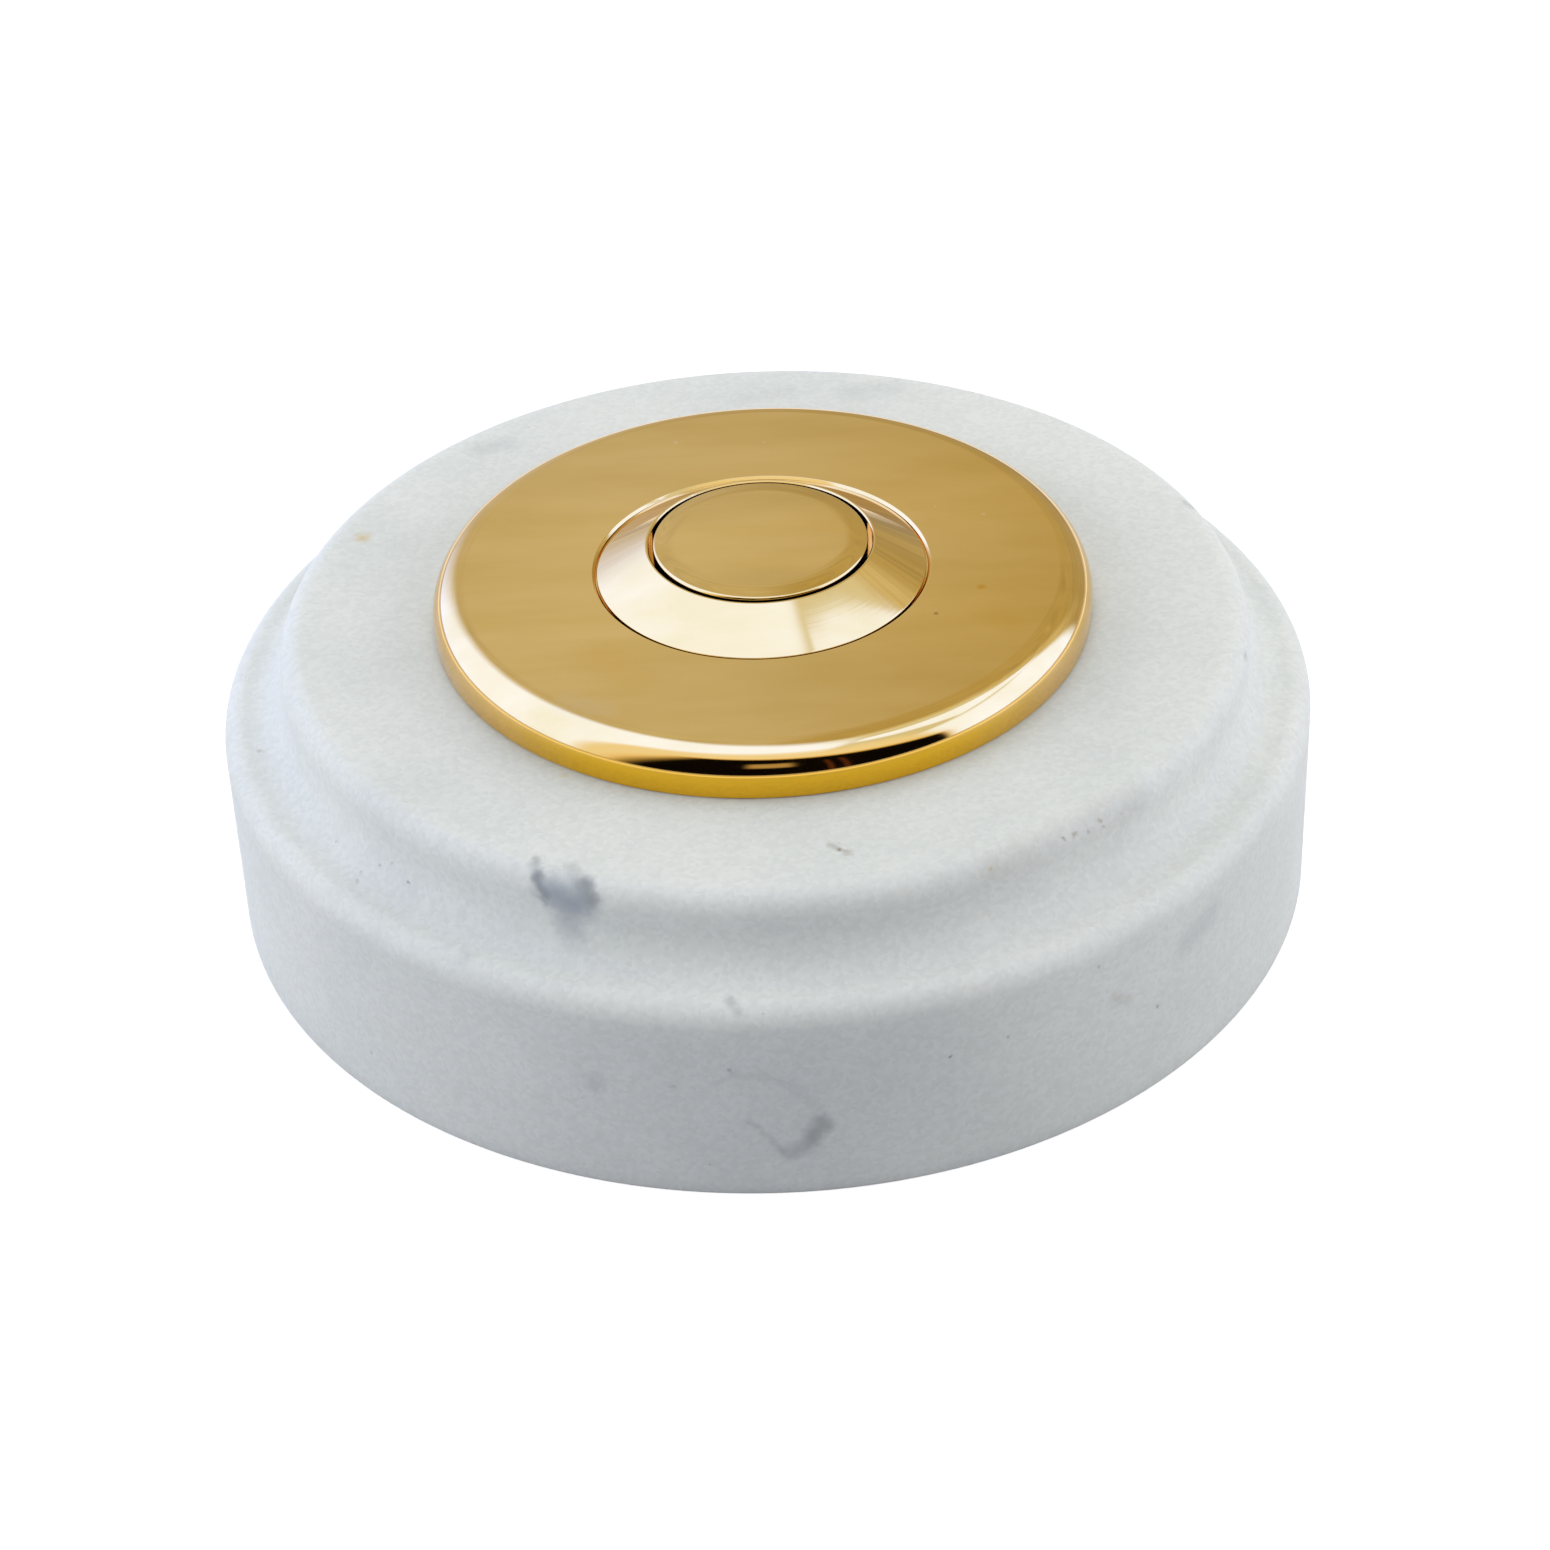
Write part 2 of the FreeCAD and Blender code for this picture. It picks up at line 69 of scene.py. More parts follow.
def eased(corners):
    """Points of a closed outline of (radius, height) or (radius, height, rounding) corners, in mm."""
    at = [Vector(corner[:2]) for corner in corners]
    count = len(corners)
    reaches, turns = [], []
    for i, corner in enumerate(corners):
        back, ahead = at[i - 1] - at[i], at[(i + 1) % count] - at[i]
        half = back.angle(ahead) / 2
        rounding = corner[2] if len(corner) > 2 else 0.0
        reaches.append(rounding / math.tan(half) if rounding else 0.0)
        turns.append(math.pi - 2 * half)
    points = []
    for i, corner in enumerate(corners):
        if not reaches[i]:
            points.append(at[i])
            continue
        back, ahead = at[i - 1] - at[i], at[(i + 1) % count] - at[i]
        free_back = back.length - reaches[i] - reaches[i - 1]
        free_ahead = ahead.length - reaches[i] - reaches[(i + 1) % count]
        back.normalize()
        ahead.normalize()
        middle = at[i] + (back + ahead).normalized() * corner[2] / math.cos(turns[i] / 2)
        spoke = at[i] + back * reaches[i] - middle
        way = 1 if spoke.y * back.x - spoke.x * back.y > 0 else -1
        steps = max(3, math.ceil(turns[i] / ARC_STEP))
        if free_back > HOLDING:
            points.append(at[i] + back * (reaches[i] + min(HOLDING, free_back / 3)))
        for k in range(steps + 1):
            points.append(middle + Matrix.Rotation(way * turns[i] * k / steps, 2) @ spoke)
        if free_ahead > HOLDING:
            points.append(at[i] + ahead * (reaches[i] + min(HOLDING, free_ahead / 3)))
    return points


# %% Spin an outline into a closed mesh
SPIN_STEPS = 256
CREASE = math.radians(35)  # a sharper bend than this stays a hard edge
MERGE = 1e-7  # metres; closer points are one


def new_piece(name, mesh_builder, body):
    """Object at the origin made from a bmesh, smooth but for its real edges, riding on a body."""
    bmesh.ops.remove_doubles(mesh_builder, verts=mesh_builder.verts, dist=MERGE)
    bmesh.ops.recalc_face_normals(mesh_builder, faces=mesh_builder.faces)
    mesh = bpy.data.meshes.new(name)
    mesh_builder.to_mesh(mesh)
    mesh_builder.free()
    mesh.shade_smooth()
    mesh.set_sharp_from_angle(angle=CREASE)
    piece = bpy.data.objects.new(name, mesh)
    bpy.context.scene.collection.objects.link(piece)
    if body:
        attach(piece, body)
    return piece


def spun(corners, x=0.0, y=0.0, steps=SPIN_STEPS):
    """Bmesh of an outline turned about the vertical through (x, y), all in mm."""
    shape = bmesh.new()
    rings = []
    for radius, height in eased(corners):
        if radius < MERGE / MM:  # a pole
            rings.append([shape.verts.new((x * MM, y * MM, height * MM))])
            continue
        ring = []
        for k in range(steps):
            angle = 2 * math.pi * k / steps
            ring.append(shape.verts.new((
                (x + radius * math.cos(angle)) * MM,
                (y + radius * math.sin(angle)) * MM,
                height * MM,
            )))
        rings.append(ring)
    for ring, following in zip(rings, rings[1:] + rings[:1]):
        if len(ring) == len(following) == 1:
            continue
        for k in range(steps):
            j = (k + 1) % steps
            quad = (ring[k % len(ring)], ring[j % len(ring)],
                    following[j % len(following)], following[k % len(following)])
            shape.faces.new(list(dict.fromkeys(quad)))
    return shape


print("one spun ring has", SPIN_STEPS, "steps")

# %% Bore holes into a piece
def bored(piece, *cutters):
    """Cuts holes into a piece with exact booleans; the cutters are bmeshes."""
    holes = bmesh.new()
    for cutter in cutters:
        scrap = bpy.data.meshes.new("cutter")
        cutter.to_mesh(scrap)
        holes.from_mesh(scrap)
        bpy.data.meshes.remove(scrap)
        cutter.free()
    tool = new_piece("cutter", holes, None)
    cut = piece.modifiers.new("holes", "BOOLEAN")
    cut.object = tool
    cut.solver = "EXACT"
    mesh = bpy.data.meshes.new_from_object(piece.evaluated_get(bpy.context.evaluated_depsgraph_get()))
    piece.modifiers.remove(cut)
    piece.data = mesh
    mesh.name = piece.name
    mesh.shade_smooth()
    mesh.set_sharp_from_angle(angle=CREASE)
    bpy.data.objects.remove(tool)
    print(piece.name, "has", len(cutters), "holes")


# %% [markdown]
# ## The marble base
#
# The real base is sawn from a slab, bored, turned on a lathe to its cove, and honed with wet abrasive, which
# rubs the edges above and below the cove to full soft rounds. It is spun from the same sizes as the solid, with a
# small rounding in the place of the foot's chamfer, and then drilled for the wall screws and the two bolts.

# %% Marble base
BASE_R, BASE_TOP, SIDE_TOP, TOP_R = 50.0, 27.0, 20.0, 44.2
SOFT_EDGE, COVE_R = 2.1, 3.6
CHAMBER_R, LEDGE, ENTRY_R = 18.0, 10.0, 14.0
SCREW_X, SCREW_HOLE_R = 23.0, 2.25
BOLT_Y, BOLT_HOLE_R, POCKET_R, POCKET_DEPTH = 23.0, 2.2, 5.5, 7.0
HOLE_STEPS = 48
BELOW, BEYOND = -1.0, BASE_TOP + 1.0  # the cutters stick out of the stone at both ends

marble_base = new_piece("turned_marble_base", spun([
    (ENTRY_R, 0, 0.4),
    (BASE_R, 0, 0.35),
    (BASE_R, SIDE_TOP, SOFT_EDGE),
    (TOP_R, SIDE_TOP, COVE_R),
    (TOP_R, BASE_TOP, SOFT_EDGE),
    (CHAMBER_R, BASE_TOP, 0.3),
    (CHAMBER_R, LEDGE),
    (ENTRY_R, LEDGE, 0.3),
]), "base")
screw_hole = [(0, BELOW), (SCREW_HOLE_R, BELOW), (SCREW_HOLE_R, BEYOND), (0, BEYOND)]
bolt_hole = [(0, BELOW), (POCKET_R, BELOW), (POCKET_R, POCKET_DEPTH), (BOLT_HOLE_R, POCKET_DEPTH),
             (BOLT_HOLE_R, BEYOND), (0, BEYOND)]
bored(
    marble_base,
    *[spun(screw_hole, x=side * SCREW_X, steps=HOLE_STEPS) for side in (1, -1)],
    *[spun(bolt_hole, y=side * BOLT_Y, steps=HOLE_STEPS) for side in (1, -1)],
)
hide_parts("marble_base")
print("marble base:", len(marble_base.data.polygons), "faces")

# %% [markdown]
# ## Cover plate, bezel and button
#
# These three are turned from brass bar and polished in the lathe. The thin dark rings between them are real gaps,
# so they come from the shapes and not from paint.
#
# The cover is a shallow dish with a full round at its rim. Inside its side wall is the thread that screws on to
# the backing plate, and in its middle is a recess with a boss below, where the bezel is clamped.

# %% Cover plate
COVER_R, COVER_TOP, RIM_ROUND = 30.0, 31.4, 2.9
THREAD_R, CEILING = 28.0, 29.4
BOSS_R, BOSS_BOTTOM = 15.95, 28.4
RECESS_R, RECESS_FLOOR, BARREL_HOLE_R = 15.1, 30.6, 13.05
RECESS_EASE, FINE_EDGE = 0.25, 0.06  # the chamfer round the recess, and the rounding of its two edges

cover_plate = new_piece("polished_cover_plate", spun([
    (BARREL_HOLE_R, BOSS_BOTTOM),
    (BOSS_R, BOSS_BOTTOM),
    (BOSS_R, CEILING),
    (THREAD_R, CEILING),
    (THREAD_R, BASE_TOP),
    (COVER_R, BASE_TOP, 0.2),
    (COVER_R, COVER_TOP, RIM_ROUND),
    (RECESS_R + RECESS_EASE, COVER_TOP, FINE_EDGE),
    (RECESS_R, COVER_TOP - RECESS_EASE, FINE_EDGE),
    (RECESS_R, RECESS_FLOOR),
    (BARREL_HOLE_R, RECESS_FLOOR),
]), "base")
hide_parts("cover_plate")
print("cover plate spans", [round(v / MM, 2) for v in cover_plate.dimensions])

# %% [markdown]
# The bezel is a low cone on a barrel. The cone sits in the cover's recess, and the barrel goes down through the
# cover to a ring nut. A hair-fine chamfer inside the mouth keeps the gap round the button from looking too wide.

# %% Bezel ring
MOUTH_R, BEZEL_MOUTH, BORE_TOP = 10.15, 34.0, 31.0
BARREL_BORE_R, BARREL_R, BARREL_BOTTOM = 11.8, 13.0, 20.4
BEZEL_R, CONE_FOOT = 14.95, 31.25

bezel_ring = new_piece("polished_bezel_ring", spun([
    (MOUTH_R, BORE_TOP),
    (BARREL_BORE_R, BORE_TOP),
    (BARREL_BORE_R, BARREL_BOTTOM),
    (BARREL_R, BARREL_BOTTOM, 0.2),
    (BARREL_R, RECESS_FLOOR),
    (BEZEL_R, RECESS_FLOOR),
    (BEZEL_R, CONE_FOOT, 0.1),
    (MOUTH_R + 0.25, BEZEL_MOUTH, 0.08),
    (MOUTH_R + 0.12, BEZEL_MOUTH, 0.04),
    (MOUTH_R, BEZEL_MOUTH - 0.12, 0.04),
]), "base")
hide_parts("bezel_ring")
print("bezel ring:", len(bezel_ring.data.polygons), "faces")

# %% [markdown]
# The button is one turned piece: a crowned head, a flange that stops under the bezel's shoulder, and a stepped
# stem that carries the plunger tip. Polishing lowers the rim of its face, so the crown falls away faster there;
# that rule gives the points of the face.

# %% Push button
BUTTON_R, BUTTON_EDGE, EDGE_ROUND = 9.75, 34.12, 0.3
DISH, ROLL_OFF, ROLL_WIDTH = 0.08, 0.2, 1.7  # height of the crown, of the polished-down rim, and the rim's width
CROWN_STEPS = 32
FLANGE_R, FLANGE_BOTTOM, FLANGE_EASE = 11.72, 29.6, 0.1
SPIGOT_R, SPIGOT_BOTTOM = 4.8, 28.8
STEM_R, STEM_BOTTOM = 3.0, 20.03
PIN_R, PIN_BOTTOM = 1.5, 18.93

face_r = BUTTON_R - EDGE_ROUND
crown = []
for k in range(1, CROWN_STEPS + 1):
    radius = face_r * (1 - k / CROWN_STEPS)
    rolled = max(0.0, radius - face_r + ROLL_WIDTH) / ROLL_WIDTH
    crown.append((radius, BUTTON_EDGE + DISH * (1 - (radius / face_r) ** 2) + ROLL_OFF * (1 - rolled ** 2)))

push_button = new_piece("polished_push_button", spun([
    (0, PIN_BOTTOM),
    (PIN_R, PIN_BOTTOM),
    (PIN_R, STEM_BOTTOM),
    (STEM_R, STEM_BOTTOM),
    (STEM_R, SPIGOT_BOTTOM),
    (SPIGOT_R, SPIGOT_BOTTOM),
    (SPIGOT_R, FLANGE_BOTTOM),
    (FLANGE_R, FLANGE_BOTTOM, FLANGE_EASE),
    (FLANGE_R, BORE_TOP, FLANGE_EASE),
    (BUTTON_R, BORE_TOP),
    (BUTTON_R, BUTTON_EDGE, EDGE_ROUND),
    *crown,
]), "button")
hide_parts("push_button")
print("push button: middle of the crown at", round(crown[-1][1], 2), "mm")

# %% [markdown]
# ## Helpers for trees of nodes
#
# Materials and Geometry Nodes are both trees of nodes. One helper adds a node to either, with its settings and its
# links, and short names stand for the node types and settings that come back all the time.

# %% Node helpers
MATH, VECTOR, RANGE = "ShaderNodeMath", "ShaderNodeVectorMath", "ShaderNodeMapRange"
SUM, DIFFERENCE, TIMES, OVER, FUSED, LARGER = ({"operation": operation} for operation in (
    "ADD", "SUBTRACT", "MULTIPLY", "DIVIDE", "MULTIPLY_ADD", "MAXIMUM"))
SMOOTH = {"interpolation_type": "SMOOTHSTEP"}
BLEND = {"data_type": "RGBA"}


def add(tree, kind, settings=None, inputs=None):
    """New node; an input given a socket is linked to it, any other value is set."""
    node = tree.nodes.new(kind)
    for key, value in (settings or {}).items():
        setattr(node, key, value)
    for key, value in (inputs or {}).items():
        if isinstance(value, bpy.types.NodeSocket):
            tree.links.new(value, node.inputs[key])
        else:
            node.inputs[key].default_value = value
    return node


# %% Geometry tree helpers
def new_tree(name, sizes):
    """Geometry-nodes tree with a geometry output and named inputs, given as {name: socket type}."""
    tree = bpy.data.node_groups.new(name, "GeometryNodeTree")
    tree.interface.new_socket("Geometry", in_out="OUTPUT", socket_type="NodeSocketGeometry")
    for label, kind in sizes.items():
        tree.interface.new_socket(label, in_out="INPUT", socket_type=kind)
    return tree


def grown(name, tree, values, body):
    """Runs a tree on an empty mesh with its inputs set by identifier, and keeps the result as a plain mesh."""
    piece = bpy.data.objects.new(name, bpy.data.meshes.new(name))
    bpy.context.scene.collection.objects.link(piece)
    run = piece.modifiers.new(name, "NODES")
    run.node_group = tree
    for item in tree.interface.items_tree:
        if item.in_out == "INPUT" and item.name in values:
            run[item.identifier] = values[item.name]
    piece.data = bpy.data.meshes.new_from_object(piece.evaluated_get(bpy.context.evaluated_depsgraph_get()))
    piece.modifiers.remove(run)
    piece.data.name = name
    piece.data.shade_smooth()
    piece.data.set_sharp_from_angle(angle=CREASE)
    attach(piece, body)
    return piece


# %% [markdown]
# ## Materials
#
# Colours are written as sRGB hex values and turned to linear by one function. Every finish starts from what the
# real one is: honed marble, turned and polished brass, machined brass, drawn wire, rolled strip and moulded
# phenolic. Patterns read Object coordinates, so they stay on the piece in any view, and their scales come from
# real sizes in millimetres.

# %% Colour and material helpers
def linear(code):
    """Linear RGBA of an sRGB hex colour."""
    channels = [int(code[i:i + 2], 16) / 255 for i in (1, 3, 5)]
    return tuple(c / 12.92 if c <= 0.04045 else ((c + 0.055) / 1.055) ** 2.4 for c in channels) + (1.0,)


def new_material(name):
    """Empty node material, its Principled shader and its Object coordinates."""
    material = bpy.data.materials.new(name)
    material.use_nodes = True
    tree = material.node_tree
    tree.nodes.clear()
    shader = add(tree, "ShaderNodeBsdfPrincipled")
    add(tree, "ShaderNodeOutputMaterial", inputs={"Surface": shader.outputs[0]})
    place = add(tree, "ShaderNodeTexCoord").outputs["Object"]
    return material, tree, shader, place


def per_mm(size):
    """Texture scale for a feature size in mm, on Object coordinates in metres."""
    return 1 / (size * MM)


# %% [markdown]
# ### Honed white marble
#
# Marble is a mass of small calcite grains. Light goes a few millimetres into it, which softens its shadows, and
# the grains give a faint sugary speckle. This block also carries its own marks: a blue-grey cloud on the cove, a
# vein low at the front, brown pits along the cove's edge and a few ochre spots. Each mark is a short stroke in
# space, softened and made ragged by noise, so it stays at its real place on the stone.

# %% Marble strokes
DOT = 1.0 * MM  # a mark shorter than this is measured from its middle, which renders faster


def stroke(tree, place, start, end, width, soft, strength=1.0):
    """Mask round the line from start to end, in mm: strength inside the width, falling to 0 over soft."""
    start, end = Vector(start) * MM, Vector(end) * MM
    run = end - start
    nearest = (start + end) / 2
    if run.length > DOT:
        per_run = run / run.length_squared
        along = add(tree, VECTOR, {"operation": "DOT_PRODUCT"}, {0: place, 1: per_run}).outputs["Value"]
        share = add(tree, RANGE, inputs={
            "Value": along, "From Min": start.dot(per_run), "From Max": start.dot(per_run) + 1})
        nearest = add(tree, VECTOR, FUSED, {0: share.outputs[0], 1: run, 2: start}).outputs[0]
    gap = add(tree, VECTOR, {"operation": "DISTANCE"}, {0: place, 1: nearest}).outputs["Value"]
    return add(tree, RANGE, SMOOTH, {
        "Value": gap, "From Min": (width + soft) * MM, "From Max": max(width - soft, 0.0) * MM,
        "To Max": strength}).outputs[0]


# %% The stone's own marks
GREY, BLUE_GREY, BROWN, OCHRE, DARK = "#8B9196", "#969FAD", "#9A9282", "#D8C496", "#6B6E72"
MARKS = [
    # start, end, width, softness, colour, strength; mm
    ((-19.9, -37.0, 27.0), (-19.8, -38.8, 26.4), 0.2, 0.7, GREY, 0.45),
    ((-19.8, -38.8, 26.4), (-19.2, -39.8, 25.2), 0.3, 0.8, GREY, 0.7),
    ((-17.0, -38.2, 27.0), (-15.7, -40.3, 26.6), 0.2, 0.8, GREY, 0.3),
    ((-15.8, -40.4, 26.6), (-15.2, -41.2, 25.8), 0.4, 0.9, DARK, 0.5),
    ((-18.3, -40.0, 25.6), (-16.4, -41.0, 25.2), 0.9, 1.8, BLUE_GREY, 0.72),
    ((-17.6, -40.5, 23.8), (-17.1, -40.9, 22.5), 0.5, 1.7, BLUE_GREY, 0.4),
    ((-16.3, -47.3, 11.4), (-15.5, -47.5, 10.9), 0.5, 1.2, GREY, 0.22),
    ((3.1, -49.9, 7.8), (2.2, -50.0, 6.2), 0.35, 1.1, DARK, 0.42),
    ((1.6, -50.0, 5.4), (0.1, -50.0, 4.7), 0.3, 1.0, GREY, 0.34),
    ((-3.0, -49.9, 8.6), (-0.3, -50.0, 4.8), 0.1, 0.5, GREY, 0.2),
    ((-5.4, -49.7, 12.3), (-4.2, -49.8, 13.3), 0.1, 0.7, GREY, 0.1),
    ((-4.1, -49.8, 13.4), (-0.4, -50.0, 12.9), 0.1, 0.7, GREY, 0.1),
    ((-0.1, -50.0, 12.6), (2.6, -49.9, 9.6), 0.1, 0.9, GREY, 0.1),
    ((5.4, -37.5, 27.0), (5.6, -37.7, 27.0), 0.15, 0.3, BROWN, 0.95),
    ((4.9, -36.9, 27.0), (6.1, -38.1, 27.0), 0.1, 0.5, BROWN, 0.4),
    ((-4.2, -48.1, 20.0), (-3.4, -49.1, 19.5), 0.12, 0.5, GREY, 0.35),
    ((-37.7, 14.4, 27.0), (-37.2, 14.6, 27.0), 0.4, 0.9, OCHRE, 0.8),
    ((-17.9, -25.3, 27.0), (-17.6, -25.3, 27.0), 0.15, 0.5, OCHRE, 0.4),
    ((-27.2, 29.9, 27.0), (-24.4, 30.5, 27.0), 0.4, 1.6, GREY, 0.16),
    ((-1.0, 37.5, 27.0), (3.0, 38.3, 27.0), 0.5, 1.6, GREY, 0.1),
    ((9.6, 37.7, 27.0), (14.0, 38.3, 27.0), 0.5, 2.0, BLUE_GREY, 0.14),
    ((27.5, -33.9, 26.3), (27.7, -34.0, 26.0), 0.1, 0.35, BROWN, 0.5),
    ((27.7, -34.3, 25.6), (27.8, -34.3, 25.4), 0.08, 0.3, BROWN, 0.45),
    ((26.4, -35.1, 26.0), (26.6, -35.0, 25.8), 0.08, 0.25, BROWN, 0.5),
    ((25.3, -35.7, 26.2), (25.6, -35.7, 26.0), 0.1, 0.3, BROWN, 0.55),
    ((24.2, -36.4, 26.3), (24.4, -36.4, 26.1), 0.08, 0.25, BROWN, 0.6),
    ((22.2, -37.9, 25.9), (22.3, -37.9, 25.8), 0.06, 0.2, BROWN, 0.5),
    ((17.8, -40.0, 26.1), (18.0, -40.0, 26.0), 0.08, 0.25, OCHRE, 0.7),
    ((29.5, -32.7, 25.7), (29.6, -32.6, 25.6), 0.06, 0.2, BROWN, 0.5),
    ((18.2, -39.8, 26.1), (30.8, -31.2, 26.0), 0.4, 2.2, BROWN, 0.15),
    ((42.9, -10.2, 25.7), (43.0, -9.3, 25.7), 0.2, 0.6, BROWN, 0.4),
    ((40.2, 14.9, 26.8), (40.9, 13.9, 26.7), 0.2, 0.6, DARK, 0.3),
    ((-46.0, -10.2, 20.1), (-45.7, -9.7, 20.2), 0.12, 0.4, BROWN, 0.4),
    ((-35.7, -28.8, 20.5), (-35.3, -29.4, 20.5), 0.08, 0.3, BROWN, 0.5),
    ((-36.0, -29.7, 20.2), (-35.7, -30.2, 20.2), 0.08, 0.3, BROWN, 0.45),
    ((-34.1, -29.3, 21.4), (-33.8, -29.6, 21.4), 0.08, 0.3, BROWN, 0.4),
    ((-32.8, -30.2, 21.9), (-32.7, -30.3, 21.9), 0.08, 0.25, BROWN, 0.35),
    ((-38.0, -25.2, 20.8), (-37.7, -25.2, 21.0), 0.08, 0.3, BROWN, 0.4),
    ((-31.2, -32.3, 21.4), (-31.1, -32.5, 21.4), 0.08, 0.22, DARK, 0.6),
    ((-26.7, -40.6, 19.9), (-25.9, -41.1, 19.9), 0.3, 0.9, GREY, 0.18),
    ((-35.9, -34.8, 5.1), (-35.8, -34.9, 5.0), 0.08, 0.25, GREY, 0.5),
    ((-9.4, -49.1, 11.8), (-9.3, -49.1, 11.7), 0.1, 0.25, DARK, 0.45),
    ((-4.5, -49.8, 14.0), (-4.4, -49.8, 13.9), 0.08, 0.25, DARK, 0.4),
    ((14.0, -48.0, 12.9), (14.1, -48.0, 12.7), 0.1, 0.25, DARK, 0.75),
    ((18.8, -46.3, 13.1), (18.9, -46.3, 13.0), 0.08, 0.25, DARK, 0.4),
    ((32.4, -38.1, 9.2), (32.5, -38.0, 9.0), 0.1, 0.28, DARK, 0.55),
    ((26.5, -42.4, 17.1), (26.9, -42.2, 16.6), 0.08, 0.3, DARK, 0.35),
    ((28.3, -41.2, 12.8), (29.5, -40.3, 11.8), 0.2, 0.9, BROWN, 0.16),
    ((35.1, -35.6, 14.1), (37.4, -33.2, 15.0), 0.6, 2.0, BLUE_GREY, 0.2),
]

# %% Lay marks over a colour
def marked(tree, place, colour, marks):
    """Colour with soft strokes over it; a mark is start, end, width, softness, tint and strength."""
    for start, end, width, soft, tint, strength in marks:
        mask = stroke(tree, place, start, end, width, soft, strength)
        colour = add(tree, "ShaderNodeMix", BLEND, {
            "Factor": mask, "A": colour, "B": linear(tint)}).outputs["Result"]
    return colour


# %% Honed marble
# White calcite, sawn, turned and honed: pale, almost without shine, softly lit from inside.
honed_marble, tree, shader, place = new_material("honed_white_marble")
CLOUD, GRAIN = 16, 0.4  # mm across a cloud, and across a calcite grain, drawn a little coarse so that it shows
PITS = 2.6  # mm between the smallest pits, of which few are dark enough to show
RAGGED, WOBBLE = 1.3, 1.4  # mm: size of the raggedness of a mark's edge, and how far it strays
SKIN, SKIN_DEPTH = 0.6, 0.05  # mm: size and depth of the unevenness that honing leaves
ragged = add(tree, "ShaderNodeTexNoise", inputs={"Vector": place, "Scale": per_mm(RAGGED), "Detail": 3.0})
shift = add(tree, VECTOR, DIFFERENCE, {0: ragged.outputs["Color"], 1: (0.5, 0.5, 0.5)})
wobbled = add(tree, VECTOR, FUSED, {0: shift.outputs[0], 1: (WOBBLE * MM,) * 3, 2: place})
clouds = add(tree, "ShaderNodeTexNoise", inputs={
    "Vector": place, "Scale": per_mm(CLOUD), "Detail": 4.0, "Roughness": 0.55})
cloudy = add(tree, RANGE, inputs={"Value": clouds.outputs["Fac"], "From Min": 0.35, "From Max": 0.75})
stone = add(tree, "ShaderNodeMix", BLEND, {
    "Factor": cloudy.outputs[0], "A": linear("#EBEEEC"), "B": linear("#E1E5E4")}).outputs["Result"]
grains = add(tree, "ShaderNodeTexVoronoi", inputs={"Vector": place, "Scale": per_mm(GRAIN)})
glint = add(tree, "ShaderNodeSeparateColor", inputs={"Color": grains.outputs["Color"]})
speckle = add(tree, RANGE, inputs={"Value": glint.outputs[0], "To Min": 0.95, "To Max": 1.03})
stone = add(tree, VECTOR, {"operation": "SCALE"}, {0: stone, "Scale": speckle.outputs[0]}).outputs[0]
specks = add(tree, "ShaderNodeTexVoronoi", inputs={"Vector": place, "Scale": per_mm(PITS)})
pitted = add(tree, "ShaderNodeSeparateColor", inputs={"Color": specks.outputs["Color"]})
reach = add(tree, RANGE, inputs={  # radius of a pit as a share of its cell: nothing for most of the cells
    "Value": pitted.outputs[1], "From Min": 0.72, "From Max": 1.0, "To Max": 0.085})
pit = add(tree, RANGE, SMOOTH, {
    "Value": specks.outputs["Distance"], "From Min": reach.outputs[0], "From Max": 0.0, "To Max": 0.45})
stone = add(tree, "ShaderNodeMix", BLEND, {
    "Factor": pit.outputs[0], "A": stone, "B": linear(BROWN)}).outputs["Result"]
stone = marked(tree, wobbled.outputs[0], stone, MARKS)
tree.links.new(stone, shader.inputs["Base Color"])
fine = add(tree, "ShaderNodeTexNoise", inputs={"Vector": place, "Scale": per_mm(SKIN), "Detail": 2.0})
relief = add(tree, "ShaderNodeBump", inputs={
    "Height": fine.outputs["Fac"], "Strength": 0.1, "Distance": SKIN_DEPTH * MM})
tree.links.new(relief.outputs[0], shader.inputs["Normal"])
shader.inputs["Roughness"].default_value = 0.48
shader.inputs["Specular IOR Level"].default_value = 0.08
shader.inputs["Subsurface Weight"].default_value = 0.4
shader.inputs["Subsurface Radius"].default_value = (1.0, 0.95, 0.9)
shader.inputs["Subsurface Scale"].default_value = 3.0 * MM
print("marble carries", len(MARKS), "marks")

# %% [markdown]
# ### Turned and polished brass
#
# The lathe leaves rings a tenth of a millimetre apart, and the polishing wheel softens them without hiding them.
# The rings are drawn as a fine noise over the distance from the axis, a little coarser than life so that they
# show. Wear comes on top: faint clouds where the polish has dulled, and a few specks and spots on the cover.

# %% Polished brass
# Turned and wheel-polished brass: a warm mirror with fine rings, whose reflections stay sharp.
RING, WAVE, DULL, WIPE = 0.35, 7, 5, 5  # mm: turning rings, waves, dull clouds and traces of the cloth
WIPE_TURN, WIPE_STRETCH = math.radians(24), 0.25  # direction of the cloth's traces, and how long they are drawn
UM = MM * MM  # metres in a micrometre
BRASS = linear("#F1C676")
WIPED_BRASS = linear("#E9BD68")  # where the polishing cloth has left a trace


